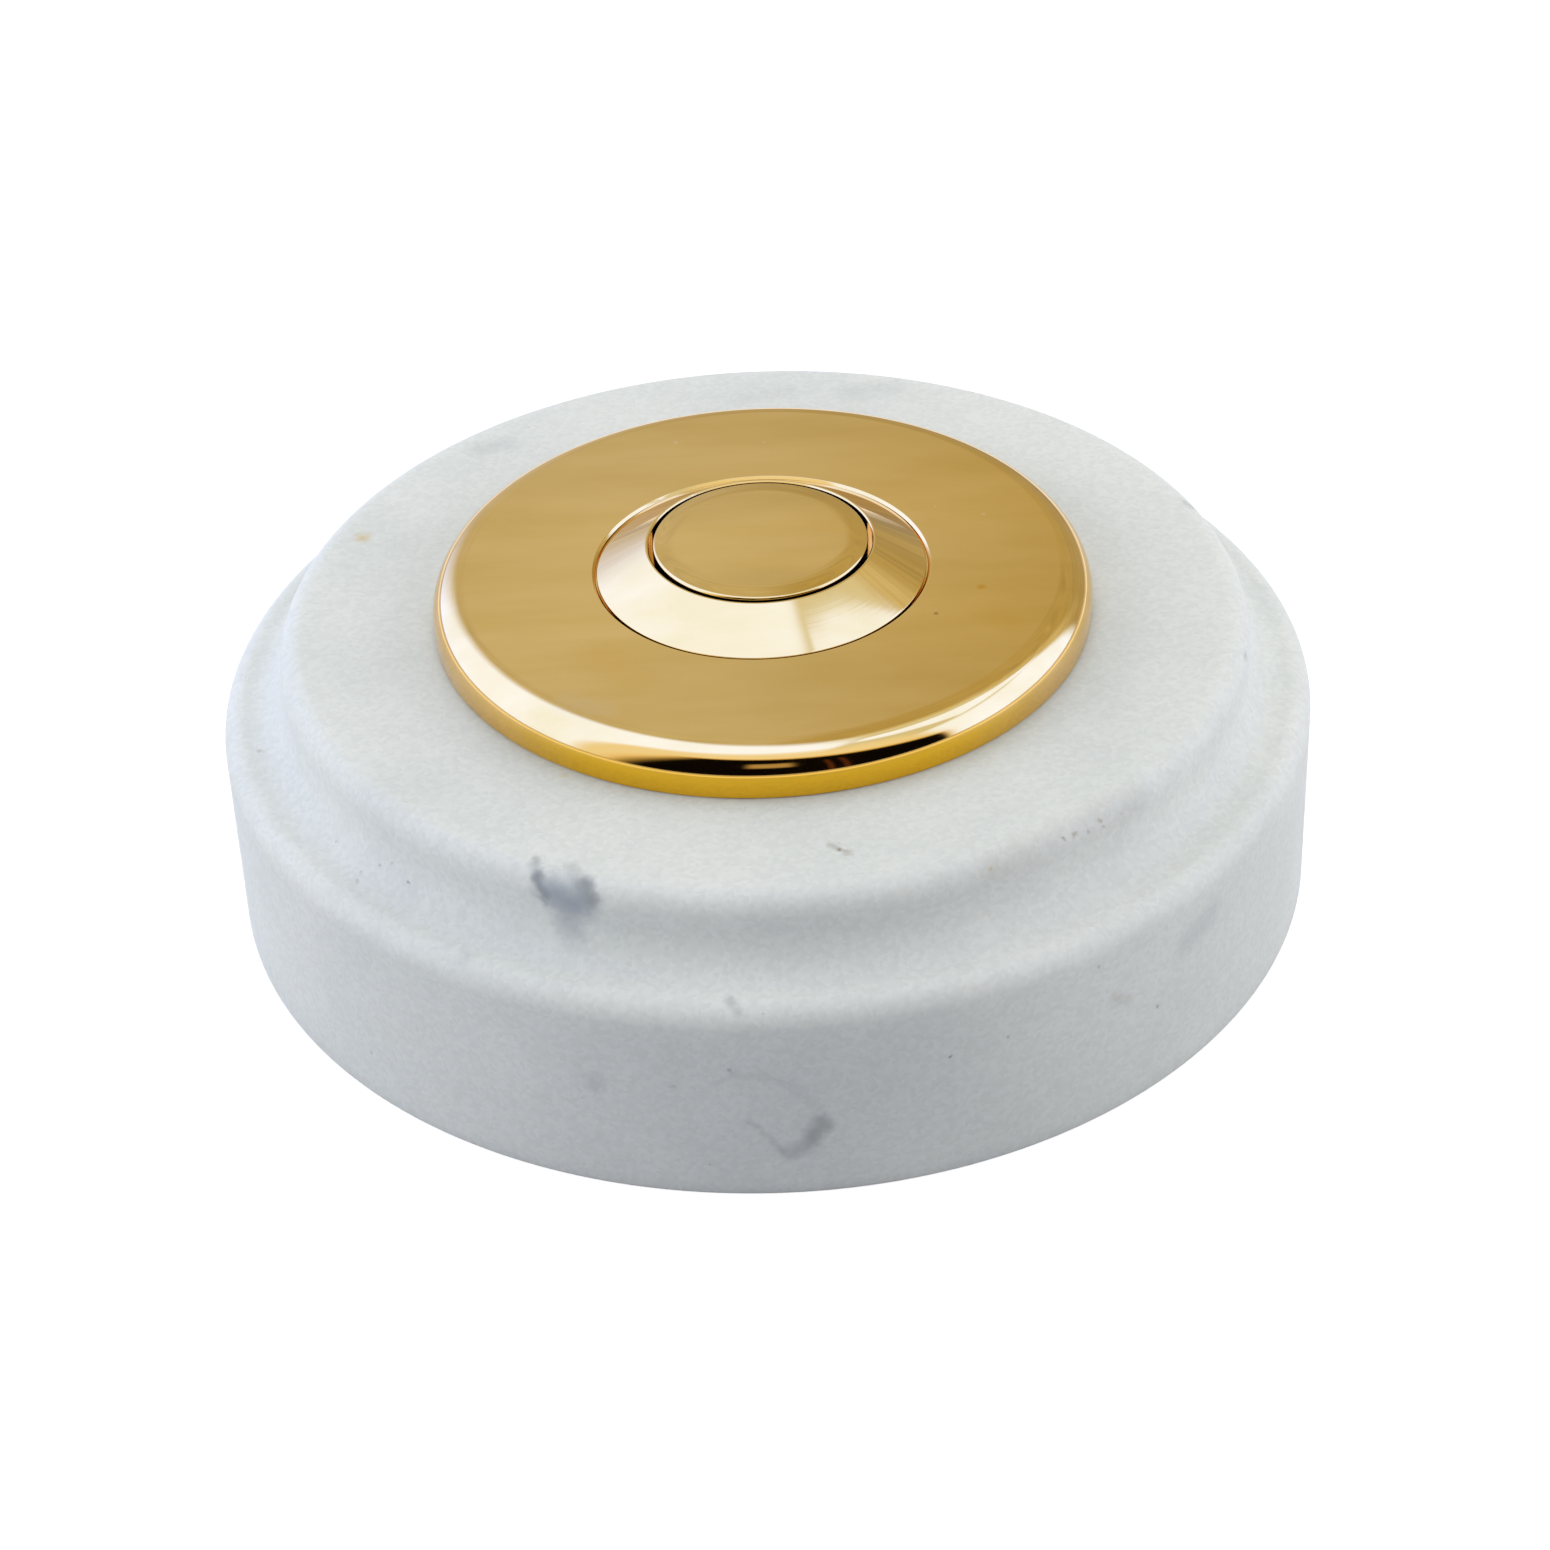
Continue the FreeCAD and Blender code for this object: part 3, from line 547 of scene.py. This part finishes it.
def polished_brass(name, roughness, ring_depth, wave_depth):
    """Polished brass with turning rings about Z; depths in micrometres."""
    material, tree, shader, place = new_material(name)
    flat = add(tree, VECTOR, {"operation": "MULTIPLY"}, {0: place, 1: (1, 1, 0)})
    radius = add(tree, VECTOR, {"operation": "LENGTH"}, {0: flat.outputs[0]}).outputs["Value"]
    rings = add(tree, "ShaderNodeTexNoise", {"noise_dimensions": "1D"}, {
        "W": radius, "Scale": per_mm(RING), "Detail": 3.0})
    ringed = add(tree, "ShaderNodeBump", inputs={
        "Height": rings.outputs["Fac"], "Strength": 1.0, "Distance": ring_depth * UM})
    uneven = add(tree, "ShaderNodeTexNoise", inputs={"Vector": place, "Scale": per_mm(WAVE), "Detail": 1.0})
    waved = add(tree, "ShaderNodeBump", inputs={
        "Height": uneven.outputs["Fac"], "Strength": 1.0, "Distance": wave_depth * UM,
        "Normal": ringed.outputs[0]})
    dull = add(tree, "ShaderNodeTexNoise", inputs={"Vector": place, "Scale": per_mm(DULL), "Detail": 4.0})
    gloss = add(tree, RANGE, inputs={
        "Value": dull.outputs["Fac"], "From Min": 0.35, "From Max": 0.7,
        "To Min": roughness * 0.8, "To Max": roughness * 1.4})
    tree.links.new(gloss.outputs[0], shader.inputs["Roughness"])
    tree.links.new(waved.outputs[0], shader.inputs["Normal"])
    wiped = add(tree, "ShaderNodeMapping", inputs={
        "Vector": place, "Rotation": (0, 0, WIPE_TURN), "Scale": (WIPE_STRETCH, 1, 1)})
    haze = add(tree, "ShaderNodeTexNoise", inputs={"Vector": wiped.outputs[0], "Scale": per_mm(WIPE), "Detail": 4.0})
    tone = add(tree, RANGE, inputs={"Value": haze.outputs["Fac"], "From Min": 0.35, "From Max": 0.65})
    colour = add(tree, "ShaderNodeMix", BLEND, {
        "Factor": tone.outputs[0], "A": BRASS, "B": WIPED_BRASS}).outputs["Result"]
    tree.links.new(colour, shader.inputs["Base Color"])
    shader.inputs["Metallic"].default_value = 1.0
    return material, tree, shader, place


cover_brass, tree, shader, place = polished_brass("polished_brass_cover", 0.06, 0.5, 5.0)
bezel_brass = polished_brass("polished_brass_bezel", 0.04, 0.2, 1.5)[0]
button_brass = polished_brass("polished_brass_button", 0.05, 0.3, 3.0)[0]
print("polished brass for the cover, the bezel and the button")

# %% [markdown]
# The cover has been handled. It carries pale and brown specks, a few tarnish spots, two dark nicks low on its rim
# and a rubbed patch. Low on its side and towards the front, a deeper yellow is painted in as a painted reflection.
# The marks are made as the stone's are; the rubbed patch is both paler and rougher.

# %% Wear and a painted reflection on the cover
BRASS_MARKS = [
    # start, end, width, softness, colour, strength; mm
    ((-7.7, 22.2, 31.4), (-7.6, 22.1, 31.4), 0.08, 0.22, "#F6E3B4", 0.6),
    ((0.7, 21.5, 31.4), (0.8, 21.4, 31.4), 0.05, 0.2, "#F6E3B4", 0.4),
    ((20.6, 7.0, 31.4), (20.7, 6.9, 31.4), 0.08, 0.2, "#F6E3B4", 0.6),
    ((16.3, 8.7, 31.4), (16.3, 8.6, 31.4), 0.05, 0.2, "#F6E3B4", 0.4),
    ((15.2, -9.2, 31.4), (15.4, -9.3, 31.4), 0.1, 0.25, "#8A6324", 0.7),
    ((19.5, -5.1, 31.4), (19.7, -5.4, 31.4), 0.15, 0.5, "#DDA01E", 0.75),
    ((20.4, -10.2, 31.4), (21.8, -11.4, 31.4), 0.5, 2.2, "#E2AC3A", 0.22),
    ((-14.2, -14.4, 31.4), (-11.5, -17.3, 31.4), 1.0, 3.0, "#E2AC3A", 0.2),
    ((12.6, -27.2, 28.3), (12.8, -27.1, 27.9), 0.15, 0.25, "#2A1B0C", 0.9),
    ((12.2, -27.4, 27.7), (12.7, -27.2, 27.8), 0.08, 0.2, "#2A1B0C", 0.5),
]
wear_and_painted_reflection = marked(tree, place, shader.inputs["Base Color"].links[0].from_socket, BRASS_MARKS)
# painted reflection: low on the side and towards the front, the brass is painted a deeper yellow
_, depth, height = add(tree, "ShaderNodeSeparateXYZ", inputs={0: place}).outputs
low = add(tree, RANGE, SMOOTH, {"Value": height, "From Min": 29.7 * MM, "From Max": 28.9 * MM})
near = add(tree, RANGE, SMOOTH, {"Value": depth, "From Min": -15.0 * MM, "From Max": -27.0 * MM})
painted_reflection_share = add(tree, MATH, TIMES, {0: low.outputs[0], 1: near.outputs[0]})
wear_and_painted_reflection = add(tree, "ShaderNodeMix", BLEND, {
    "Factor": painted_reflection_share.outputs[0], "A": wear_and_painted_reflection, "B": linear("#F2BC34")}).outputs["Result"]

# %% Rubbed patch on the cover
SCUFF = 0.5  # mm across a scuff
rubbed = stroke(tree, place, (-17.0, -20.4, 31.4), (-14.2, -22.0, 31.4), 0.4, 2.0)
scuffs = add(tree, "ShaderNodeTexNoise", inputs={
    "Vector": place, "Scale": per_mm(SCUFF), "Detail": 5.0, "Roughness": 0.8})
scuffed = add(tree, RANGE, inputs={
    "Value": scuffs.outputs["Fac"], "From Min": 0.3, "From Max": 0.8, "To Max": 0.3})
hazy = add(tree, MATH, FUSED, {
    0: rubbed, 1: scuffed.outputs[0], 2: shader.inputs["Roughness"].links[0].from_socket})
tree.links.new(hazy.outputs[0], shader.inputs["Roughness"])
pale = add(tree, MATH, TIMES, {0: rubbed, 1: scuffed.outputs[0]})
wear_and_painted_reflection = add(tree, "ShaderNodeMix", BLEND, {
    "Factor": pale.outputs[0], "A": wear_and_painted_reflection, "B": linear("#F6E9C8")}).outputs["Result"]
tree.links.new(wear_and_painted_reflection, shader.inputs["Base Color"])
print("cover carries", len(BRASS_MARKS), "marks")

# %% [markdown]
# ### Fittings
#
# What nobody sees is not polished: the nuts, washers and bolts keep their fine machining, the strips are rolled
# bronze, the spring is drawn wire and the switch base is moulded phenolic with its faint mottle.

# %% Plain finishes
def plain_finish(name, colour, metallic, roughness, feature, depth):
    """Finish with an uneven gloss and relief whose feature size is in mm and depth in micrometres."""
    material, tree, shader, place = new_material(name)
    texture = add(tree, "ShaderNodeTexNoise", inputs={"Vector": place, "Scale": per_mm(feature), "Detail": 3.0})
    gloss = add(tree, RANGE, inputs={
        "Value": texture.outputs["Fac"], "To Min": roughness * 0.8, "To Max": roughness * 1.3})
    relief = add(tree, "ShaderNodeBump", inputs={
        "Height": texture.outputs["Fac"], "Strength": 1.0, "Distance": depth * UM})
    tree.links.new(gloss.outputs[0], shader.inputs["Roughness"])
    tree.links.new(relief.outputs[0], shader.inputs["Normal"])
    shader.inputs["Base Color"].default_value = linear(colour)
    shader.inputs["Metallic"].default_value = metallic
    return material


machined_brass = plain_finish("machined_brass", "#D9B56A", 1.0, 0.3, 0.4, 3.0)
drawn_steel = plain_finish("drawn_spring_steel", "#B9BBBE", 1.0, 0.28, 0.3, 1.5)
rolled_bronze = plain_finish("rolled_phosphor_bronze", "#D59B6A", 1.0, 0.26, 0.6, 1.5)
silver = plain_finish("headed_silver_contact", "#E2E0DA", 1.0, 0.22, 0.4, 1.0)
phenolic = plain_finish("moulded_black_phenolic", "#1E1B19", 0.0, 0.38, 0.8, 4.0)
print("plain finishes:", machined_brass.name, drawn_steel.name, rolled_bronze.name, silver.name, phenolic.name)

# %% Finishes on their pieces
FINISHES = {
    machined_brass: ["backing_plate", "base_bolts", "base_bolt_washers", "base_bolt_nuts", "bezel_washer",
                     "bezel_nut", "spring_guide", "terminal_screws", "terminal_washers", "terminal_nuts"],
    drawn_steel: ["return_spring"],
    rolled_bronze: ["moving_contact", "fixed_contact"],
    silver: ["moving_contact_rivet", "fixed_contact_rivet"],
    phenolic: ["switch_base", "plunger_tip"],
}
for finish, names in FINISHES.items():
    for name in names:
        cad[name].data.materials.clear()
        cad[name].data.materials.append(finish)
for piece, finish in ((marble_base, honed_marble), (cover_plate, cover_brass), (bezel_ring, bezel_brass),
                      (push_button, button_brass)):
    piece.data.materials.append(finish)
print("finishes:", [m.name for m in bpy.data.materials])

# %% [markdown]
# ## Return spring
#
# The spring is wound from drawn steel wire: it climbs by one wire thickness a turn at its closed ends and at an
# open pitch between them. That is a rule, so a geometry-nodes tree places points along it, joins them to a curve
# and gives the curve its round section. The result is turned into a plain mesh.

# %% Coil tree: the height of each point
POINTS = 288  # along the whole wire
LENGTH = "NodeSocketFloat"
coil = new_tree("Closed-end coil", {
    "Radius": LENGTH, "Wire": LENGTH, "Foot": LENGTH, "Top": LENGTH, "Active turns": LENGTH,
    "Closed turns": LENGTH, "Finish": "NodeSocketMaterial"})
size = add(coil, "NodeGroupInput").outputs
line = add(coil, "GeometryNodeMeshLine", inputs={"Count": POINTS})
index = add(coil, "GeometryNodeInputIndex").outputs[0]
opened = add(coil, MATH, SUM, {0: size["Closed turns"], 1: size["Active turns"]}).outputs[0]
turns = add(coil, MATH, SUM, {0: opened, 1: size["Closed turns"]}).outputs[0]
share = add(coil, MATH, OVER, {0: index, 1: POINTS - 1.0}).outputs[0]
turn = add(coil, MATH, TIMES, {0: share, 1: turns}).outputs[0]
foot = add(coil, MATH, FUSED, {0: size["Wire"], 1: 0.5, 2: size["Foot"]}).outputs[0]
crest = add(coil, MATH, FUSED, {0: size["Wire"], 1: -0.5, 2: size["Top"]}).outputs[0]
closed_rise = add(coil, MATH, TIMES, {0: size["Wire"], 1: size["Closed turns"]}).outputs[0]
open_foot = add(coil, MATH, SUM, {0: foot, 1: closed_rise}).outputs[0]
open_crest = add(coil, MATH, DIFFERENCE, {0: crest, 1: closed_rise}).outputs[0]
low = add(coil, RANGE, inputs={
    "Value": turn, "From Max": size["Closed turns"], "To Min": foot, "To Max": open_foot}).outputs[0]
rise = add(coil, RANGE, inputs={
    "Value": turn, "From Min": size["Closed turns"], "From Max": opened, "To Min": open_foot,
    "To Max": open_crest}).outputs[0]
high = add(coil, RANGE, inputs={
    "Value": turn, "From Min": opened, "From Max": turns, "To Min": open_crest, "To Max": crest}).outputs[0]
climb = add(coil, MATH, SUM, {0: low, 1: rise}).outputs[0]
climb = add(coil, MATH, SUM, {0: climb, 1: high}).outputs[0]
height = add(coil, MATH, DIFFERENCE, {0: climb, 1: open_foot}).outputs[0]
height = add(coil, MATH, DIFFERENCE, {0: height, 1: open_crest}).outputs[0]
print("coil rule:", len(coil.nodes), "nodes")

# %% Coil tree: the wire through the points
angle = add(coil, MATH, TIMES, {0: turn, 1: 2 * math.pi}).outputs[0]
spot = add(coil, "ShaderNodeCombineXYZ", inputs={
    0: add(coil, MATH, {"operation": "COSINE"}, {0: angle}).outputs[0],
    1: add(coil, MATH, {"operation": "SINE"}, {0: angle}).outputs[0]}).outputs[0]
spot = add(coil, VECTOR, FUSED, {
    0: spot, 1: size["Radius"], 2: add(coil, "ShaderNodeCombineXYZ", inputs={2: height}).outputs[0]})
placed = add(coil, "GeometryNodeSetPosition", inputs={"Geometry": line.outputs[0], "Position": spot.outputs[0]})
path = add(coil, "GeometryNodeMeshToCurve", inputs={0: placed.outputs[0]})
section = add(coil, "GeometryNodeCurvePrimitiveCircle", inputs={
    "Resolution": 16, "Radius": add(coil, MATH, TIMES, {0: size["Wire"], 1: 0.5}).outputs[0]})
wire = add(coil, "GeometryNodeCurveToMesh", inputs={
    "Curve": path.outputs[0], "Profile Curve": section.outputs[0], "Fill Caps": True})
solid = add(coil, "GeometryNodeRealizeInstances", inputs={0: wire.outputs[0]})
dressed = add(coil, "GeometryNodeSetMaterial", inputs={0: solid.outputs[0], "Material": size["Finish"]})
add(coil, "NodeGroupOutput", inputs={0: dressed.outputs[0]})
print("coil tree:", len(coil.nodes), "nodes")

# %% Return spring
SPRING_FOOT, SPRING_TOP, SPRING_R, WIRE = 22.6, 29.57, 5.5, 0.8
ACTIVE, CLOSED = 3.0, 0.75  # turns that work, and turns closed at each end
spring = grown("wound_return_spring", coil, {
    "Radius": SPRING_R * MM, "Wire": WIRE * MM, "Foot": SPRING_FOOT * MM, "Top": SPRING_TOP * MM,
    "Active turns": ACTIVE, "Closed turns": CLOSED, "Finish": drawn_steel}, "base")
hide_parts("return_spring")
# 7 mm long at rest and 5 mm with the button pressed
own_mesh(spring)
print("spring:", len(spring.data.polygons), "faces")

# %% [markdown]
# ## Moving contact
#
# The leaf is stamped from thin bronze strip and bent twice. It bends with the button, so its flat end has to
# follow the plunger while its foot stays under the clamp screw. The solid's own strip is copied and welded.

# %% Moving contact leaf
leaf_mesh = bmesh.new()
leaf_mesh.from_mesh(cad["moving_contact"].data)
leaf = new_piece("bent_contact_leaf", leaf_mesh, "base")
leaf.data.materials.clear()
leaf.data.materials.append(rolled_bronze)
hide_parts("moving_contact")
# its foot is 14 mm up; from there it rises 4.03 mm at rest and 2.03 mm with the button pressed
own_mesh(leaf)
print("leaf:", len(leaf.data.polygons), "faces")

# %% [markdown]
# ## Floor, light and camera
#
# The part stands on a plain pale floor. White ground comes from the floor's own colour for the camera, not from
# more light on the object. Polished brass sees that white too, but only as far as a sheet of paper would reach,
# so that no white horizon lies on it.

# %% Floor
FLOOR_HALF = 4.0  # metres from the middle to the edge
SHEET_EDGE, SHEET_GONE, BEYOND_SHEET = 0.2, 0.5, 0.35  # metres, metres, and the floor's share of white out there
FLOOR_LIFT = 0.86
floor_mesh = bmesh.new()
bmesh.ops.create_grid(floor_mesh, x_segments=1, y_segments=1, size=FLOOR_HALF)
floor = new_piece("floor", floor_mesh, None)
floor_paper, tree, shader, place = new_material("pale_paper_floor")
shader.inputs["Base Color"].default_value = linear("#969696")
shader.inputs["Roughness"].default_value = 0.9
rays = add(tree, "ShaderNodeLightPath").outputs
away = add(tree, VECTOR, {"operation": "LENGTH"}, {0: place}).outputs["Value"]
sheet = add(tree, RANGE, SMOOTH, {
    "Value": away, "From Min": SHEET_GONE, "From Max": SHEET_EDGE, "To Min": BEYOND_SHEET})
mirrored = add(tree, MATH, TIMES, {0: rays["Is Glossy Ray"], 1: sheet.outputs[0]})
seen = add(tree, MATH, LARGER, {0: rays["Is Camera Ray"], 1: mirrored.outputs[0]})
seen = add(tree, MATH, LARGER, {0: seen.outputs[0], 1: rays["Is Transmission Ray"]})
lift = add(tree, MATH, TIMES, {0: seen.outputs[0], 1: FLOOR_LIFT})
tree.links.new(lift.outputs[0], shader.inputs["Emission Strength"])
shader.inputs["Emission Color"].default_value = (1, 1, 1, 1)
floor.data.materials.append(floor_paper)
print("floor", 2 * FLOOR_HALF, "m wide")

# %% [markdown]
# ### What the brass mirrors
#
# Polished brass shows its surroundings more than itself, so a dome that only reflections can see stands in for a
# small light tent: bright panels at the left, above and at the right, a plain back, and a dark opening in front,
# where the camera stands. It casts no light on the stone. The dome is measured in three ways: by compass and
# height angle, on a flat ceiling one unit up, and on a flat wall one unit in front.

# %% Dome
DOME_R = 2.0
dome_mesh = bmesh.new()
bmesh.ops.create_uvsphere(dome_mesh, u_segments=64, v_segments=32, radius=DOME_R)
dome = new_piece("light_tent", dome_mesh, None)
dome.visible_camera = False
dome.visible_diffuse = False
dome.visible_shadow = False
dome.visible_transmission = False
tent, tree, shader, place = new_material("light_tent")
tree.nodes.remove(shader)
print("dome", 2 * DOME_R, "m wide")

# %% Measures on the dome
x, y, z = add(tree, "ShaderNodeSeparateXYZ", inputs={0: place}).outputs
turn = add(tree, MATH, {"operation": "ARCTAN2"}, {0: x, 1: y}).outputs[0]
azimuth = add(tree, MATH, {"operation": "DEGREES"}, {0: turn}).outputs[0]  # 0 behind, 90 at the right, 180 in front
lean = add(tree, MATH, {"operation": "ARCSINE"}, {0: add(tree, MATH, OVER, {0: z, 1: DOME_R}).outputs[0]})
elevation = add(tree, MATH, {"operation": "DEGREES"}, {0: lean.outputs[0]}).outputs[0]
above = add(tree, MATH, LARGER, {0: z, 1: 0.01 * DOME_R}).outputs[0]
right = add(tree, MATH, OVER, {0: x, 1: above}).outputs[0]  # place on a flat ceiling one unit up
behind = add(tree, MATH, OVER, {0: y, 1: above}).outputs[0]
ahead = add(tree, MATH, TIMES, {0: y, 1: -1.0}).outputs[0]
front = add(tree, MATH, LARGER, {0: ahead, 1: 0.01 * DOME_R}).outputs[0]
across = add(tree, MATH, OVER, {0: x, 1: front}).outputs[0]  # place on a flat wall one unit in front
up = add(tree, MATH, OVER, {0: z, 1: front}).outputs[0]
behind_right = add(tree, MATH, FUSED, {0: right, 1: 0.88, 2: behind}).outputs[0]  # slanting borders
slanted = add(tree, MATH, FUSED, {0: across, 1: 0.32, 2: up}).outputs[0]
leaning = add(tree, MATH, FUSED, {0: up, 1: -0.35, 2: across}).outputs[0]
squared = add(tree, MATH, TIMES, {0: right, 1: right}).outputs[0]
bowed = add(tree, MATH, FUSED, {0: squared, 1: -0.8, 2: behind}).outputs[0]  # a border that curves away


# %% Patches of light
def between(value, start, end, soft):
    """Mask: 1 from start to end, with soft borders."""
    rise, fall = (add(tree, RANGE, SMOOTH, {
        "Value": value, "From Min": edge - way * soft, "From Max": edge + way * soft}).outputs[0]
        for edge, way in ((start, 1), (end, -1)))
    return add(tree, MATH, TIMES, {0: rise, 1: fall}).outputs[0]


def lit(below, patches):
    """Patches laid over what is below; a patch is a colour and masks, each a measure, start, end and softness."""
    for colour, *masks in patches:
        shares = [between(*mask) for mask in masks]
        share = shares[0]
        for other in shares[1:]:
            share = add(tree, MATH, TIMES, {0: share, 1: other}).outputs[0]
        below = add(tree, "ShaderNodeMix", BLEND, {
            "Factor": share, "A": below, "B": (*colour, 1)}).outputs["Result"]
    return below


# %% Back of the tent
FAR = 1000  # past every measure: a mask with it has one border only
BACKDROP = (0.65, 0.69, 0.75, 1)
glow = lit(BACKDROP, [
    # duller and warmer towards the right, and low down, where the room shows
    ((0.55, 0.52, 0.36), (azimuth, 3, FAR, 6)),
    ((0.50, 0.48, 0.36), (azimuth, -4, FAR, 8), (elevation, -FAR, 27, 4)),
    ((0.41, 0.39, 0.35), (azimuth, 5, 26, 6), (elevation, -FAR, 6, 5)),
    ((0.70, 0.73, 0.70), (azimuth, 47, FAR, 5), (elevation, 20, FAR, 12)),
])
drape = add(tree, "ShaderNodeCombineXYZ", inputs={0: azimuth, 1: elevation})
drape = add(tree, "ShaderNodeMapping", inputs={
    "Vector": drape.outputs[0], "Rotation": (0, 0, math.radians(-24)), "Scale": (0.05, 0.55, 1)})
folds = add(tree, "ShaderNodeTexNoise", inputs={"Vector": drape.outputs[0], "Scale": 1.0, "Detail": 3.0})
shade = add(tree, RANGE, inputs={
    "Value": folds.outputs["Fac"], "From Min": 0.3, "From Max": 0.7, "To Min": 0.86, "To Max": 1.12})
glow = add(tree, VECTOR, {"operation": "SCALE"}, {0: glow, "Scale": shade.outputs[0]}).outputs[0]
print("tent so far:", len(tree.nodes), "nodes")

# %% Panels and opening of the tent
PANEL = (1.15, 1.68, 4.6)  # cool daylight, which brass turns to cream
FRONT_HALF = (y, -FAR, -0.02, 0.01)
ABOVE_FLOOR = (elevation, -30, FAR, 1)
glow = lit(glow, [
    # right wall, ceiling, left wall, and the lit patches at the right
    ((0.82, 0.98, 1.40), (azimuth, 59, 140, 4), (elevation, -8, FAR, 3)),
    (PANEL, (right, -FAR, 0.26, 0.05), (behind_right, -FAR, 0.2, 0.16), (behind, -1.3, FAR, 0.1),
     (elevation, 4, FAR, 4)),
    (PANEL, (azimuth, -147, -30, 13), (elevation, -8, 76, 4)),
    (PANEL, (azimuth, 60, 125, 4), (elevation, -8, 42, 3)),
    (PANEL, (right, 0.29, 1.0, 0.02), (bowed, -FAR, -0.117, 0.003), (behind, -0.2, FAR, 0.05)),
    # the opening in front, dark inside a warm border
    ((1.02, 1.12, 1.4), (across, -2.0, 1.6, 0.4), (slanted, -FAR, 3.0, 1.2), FRONT_HALF, ABOVE_FLOOR),
    ((0.9, 0.75, 0.4), (leaning, -1.3, FAR, 0.3), (across, -FAR, 1.7, 0.2), (slanted, -FAR, 1.4, 0.14),
     FRONT_HALF, ABOVE_FLOOR),
    ((0.004, 0.003, 0.003), (leaning, -1.12, FAR, 0.22), (across, -FAR, 1.6, 0.1), (slanted, -FAR, 1.24, 0.1),
     FRONT_HALF, ABOVE_FLOOR),
    # a far window and two red-brown gleams inside the opening
    ((0.50, 0.40, 0.25), (across, -0.13, 0.13, 0.04), (elevation, 24, 37, 3), FRONT_HALF),
    ((0.10, 0.035, 0.02), (azimuth, 155.0, 156.6, 0.8), (elevation, -4, 34, 3)),
    ((0.10, 0.035, 0.02), (azimuth, 160.0, 161.6, 0.8), (elevation, -4, 34, 3)),
])
shine = add(tree, "ShaderNodeEmission", inputs={"Color": glow})
output = [n for n in tree.nodes if n.type == "OUTPUT_MATERIAL"][0]
tree.links.new(shine.outputs[0], output.inputs["Surface"])
dome.data.materials.append(tent)
print("tent:", len(tree.nodes), "nodes")

# %% [markdown]
# ### Light for the stone
#
# The world gives an even light from all sides, and is plain white where something sees it directly. Four soft
# square lights give the stone its shape: low ones at both sides, so that its front is the darkest part, one above
# and one behind. Reflections don't see them, so that they leave no squares in the brass.

# %% World
AMBIENT = 0.52
world = bpy.data.worlds.new("studio")
bpy.context.scene.world = world
world.use_nodes = True
tree = world.node_tree
tree.nodes.clear()
rays = add(tree, "ShaderNodeLightPath").outputs
seen = add(tree, MATH, LARGER, {0: rays["Is Camera Ray"], 1: rays["Is Glossy Ray"]})
seen = add(tree, MATH, LARGER, {0: seen.outputs[0], 1: rays["Is Transmission Ray"]})
level = add(tree, RANGE, inputs={"Value": seen.outputs[0], "To Min": AMBIENT, "To Max": 1.0})
ground = add(tree, "ShaderNodeBackground", inputs={"Color": (1, 1, 1, 1), "Strength": level.outputs[0]})
add(tree, "ShaderNodeOutputWorld", inputs={0: ground.outputs[0]})
print("even light at", AMBIENT)


# %% Soft lights
LIT_HEIGHT = 0.015  # metres up the part, where the lights are aimed


def soft_light(name, place, size, radiance, colour=(1.0, 1.0, 1.0)):
    """Square area light aimed at the part; its power follows from the radiance that it shows."""
    lamp = bpy.data.lights.new(name, "AREA")
    lamp.size = size
    lamp.energy = radiance * math.pi * size ** 2
    lamp.color = colour
    light = bpy.data.objects.new(name, lamp)
    bpy.context.scene.collection.objects.link(light)
    light.location = place
    light.rotation_euler = (Vector((0, 0, LIT_HEIGHT)) - Vector(place)).to_track_quat("-Z", "Y").to_euler()
    light.visible_camera = False
    light.visible_glossy = False
    print(name, round(lamp.energy, 2), "W")


soft_light("roof_light", (0.0, 0.20, 0.55), 0.45, 0.65)
soft_light("back_light", (0.0, 0.50, 0.42), 0.45, 0.6)
soft_light("left_light", (-0.72, -0.05, 0.24), 0.60, 2.25, (0.97, 1.0, 0.985))
soft_light("right_light", (0.72, -0.05, 0.24), 0.60, 2.15, (1.0, 0.985, 0.89))

# %% [markdown]
# ### Camera
#
# Place, aim, roll and lens were fitted to the circles and the outline of the object in the photograph, so that the
# render lies over it. The camera looks down at about 36 degrees from a third of a metre away.

# %% Camera
CAMERA_AT = Vector((0.0, -292.906, 219.357)) * MM
AIM = Vector((0.440, 0.0, 7.808)) * MM
ROLL = -2.418  # degrees
LENS, SENSOR = 89.038, 36.0
lens = bpy.data.cameras.new("camera")
lens.lens = LENS
lens.sensor_width = SENSOR
lens.clip_start = 10 * MM
camera = bpy.data.objects.new("camera", lens)
bpy.context.scene.collection.objects.link(camera)
camera.location = CAMERA_AT
turned_view = (AIM - CAMERA_AT).to_track_quat("-Z", "Y") @ Quaternion((0, 0, 1), math.radians(ROLL))
camera.rotation_euler = turned_view.to_euler()
bpy.context.scene.camera = camera
bpy.context.scene.view_settings.view_transform = "Standard"
print("camera", round(math.degrees(math.asin((CAMERA_AT - AIM).normalized().z)), 1), "degrees above the floor")
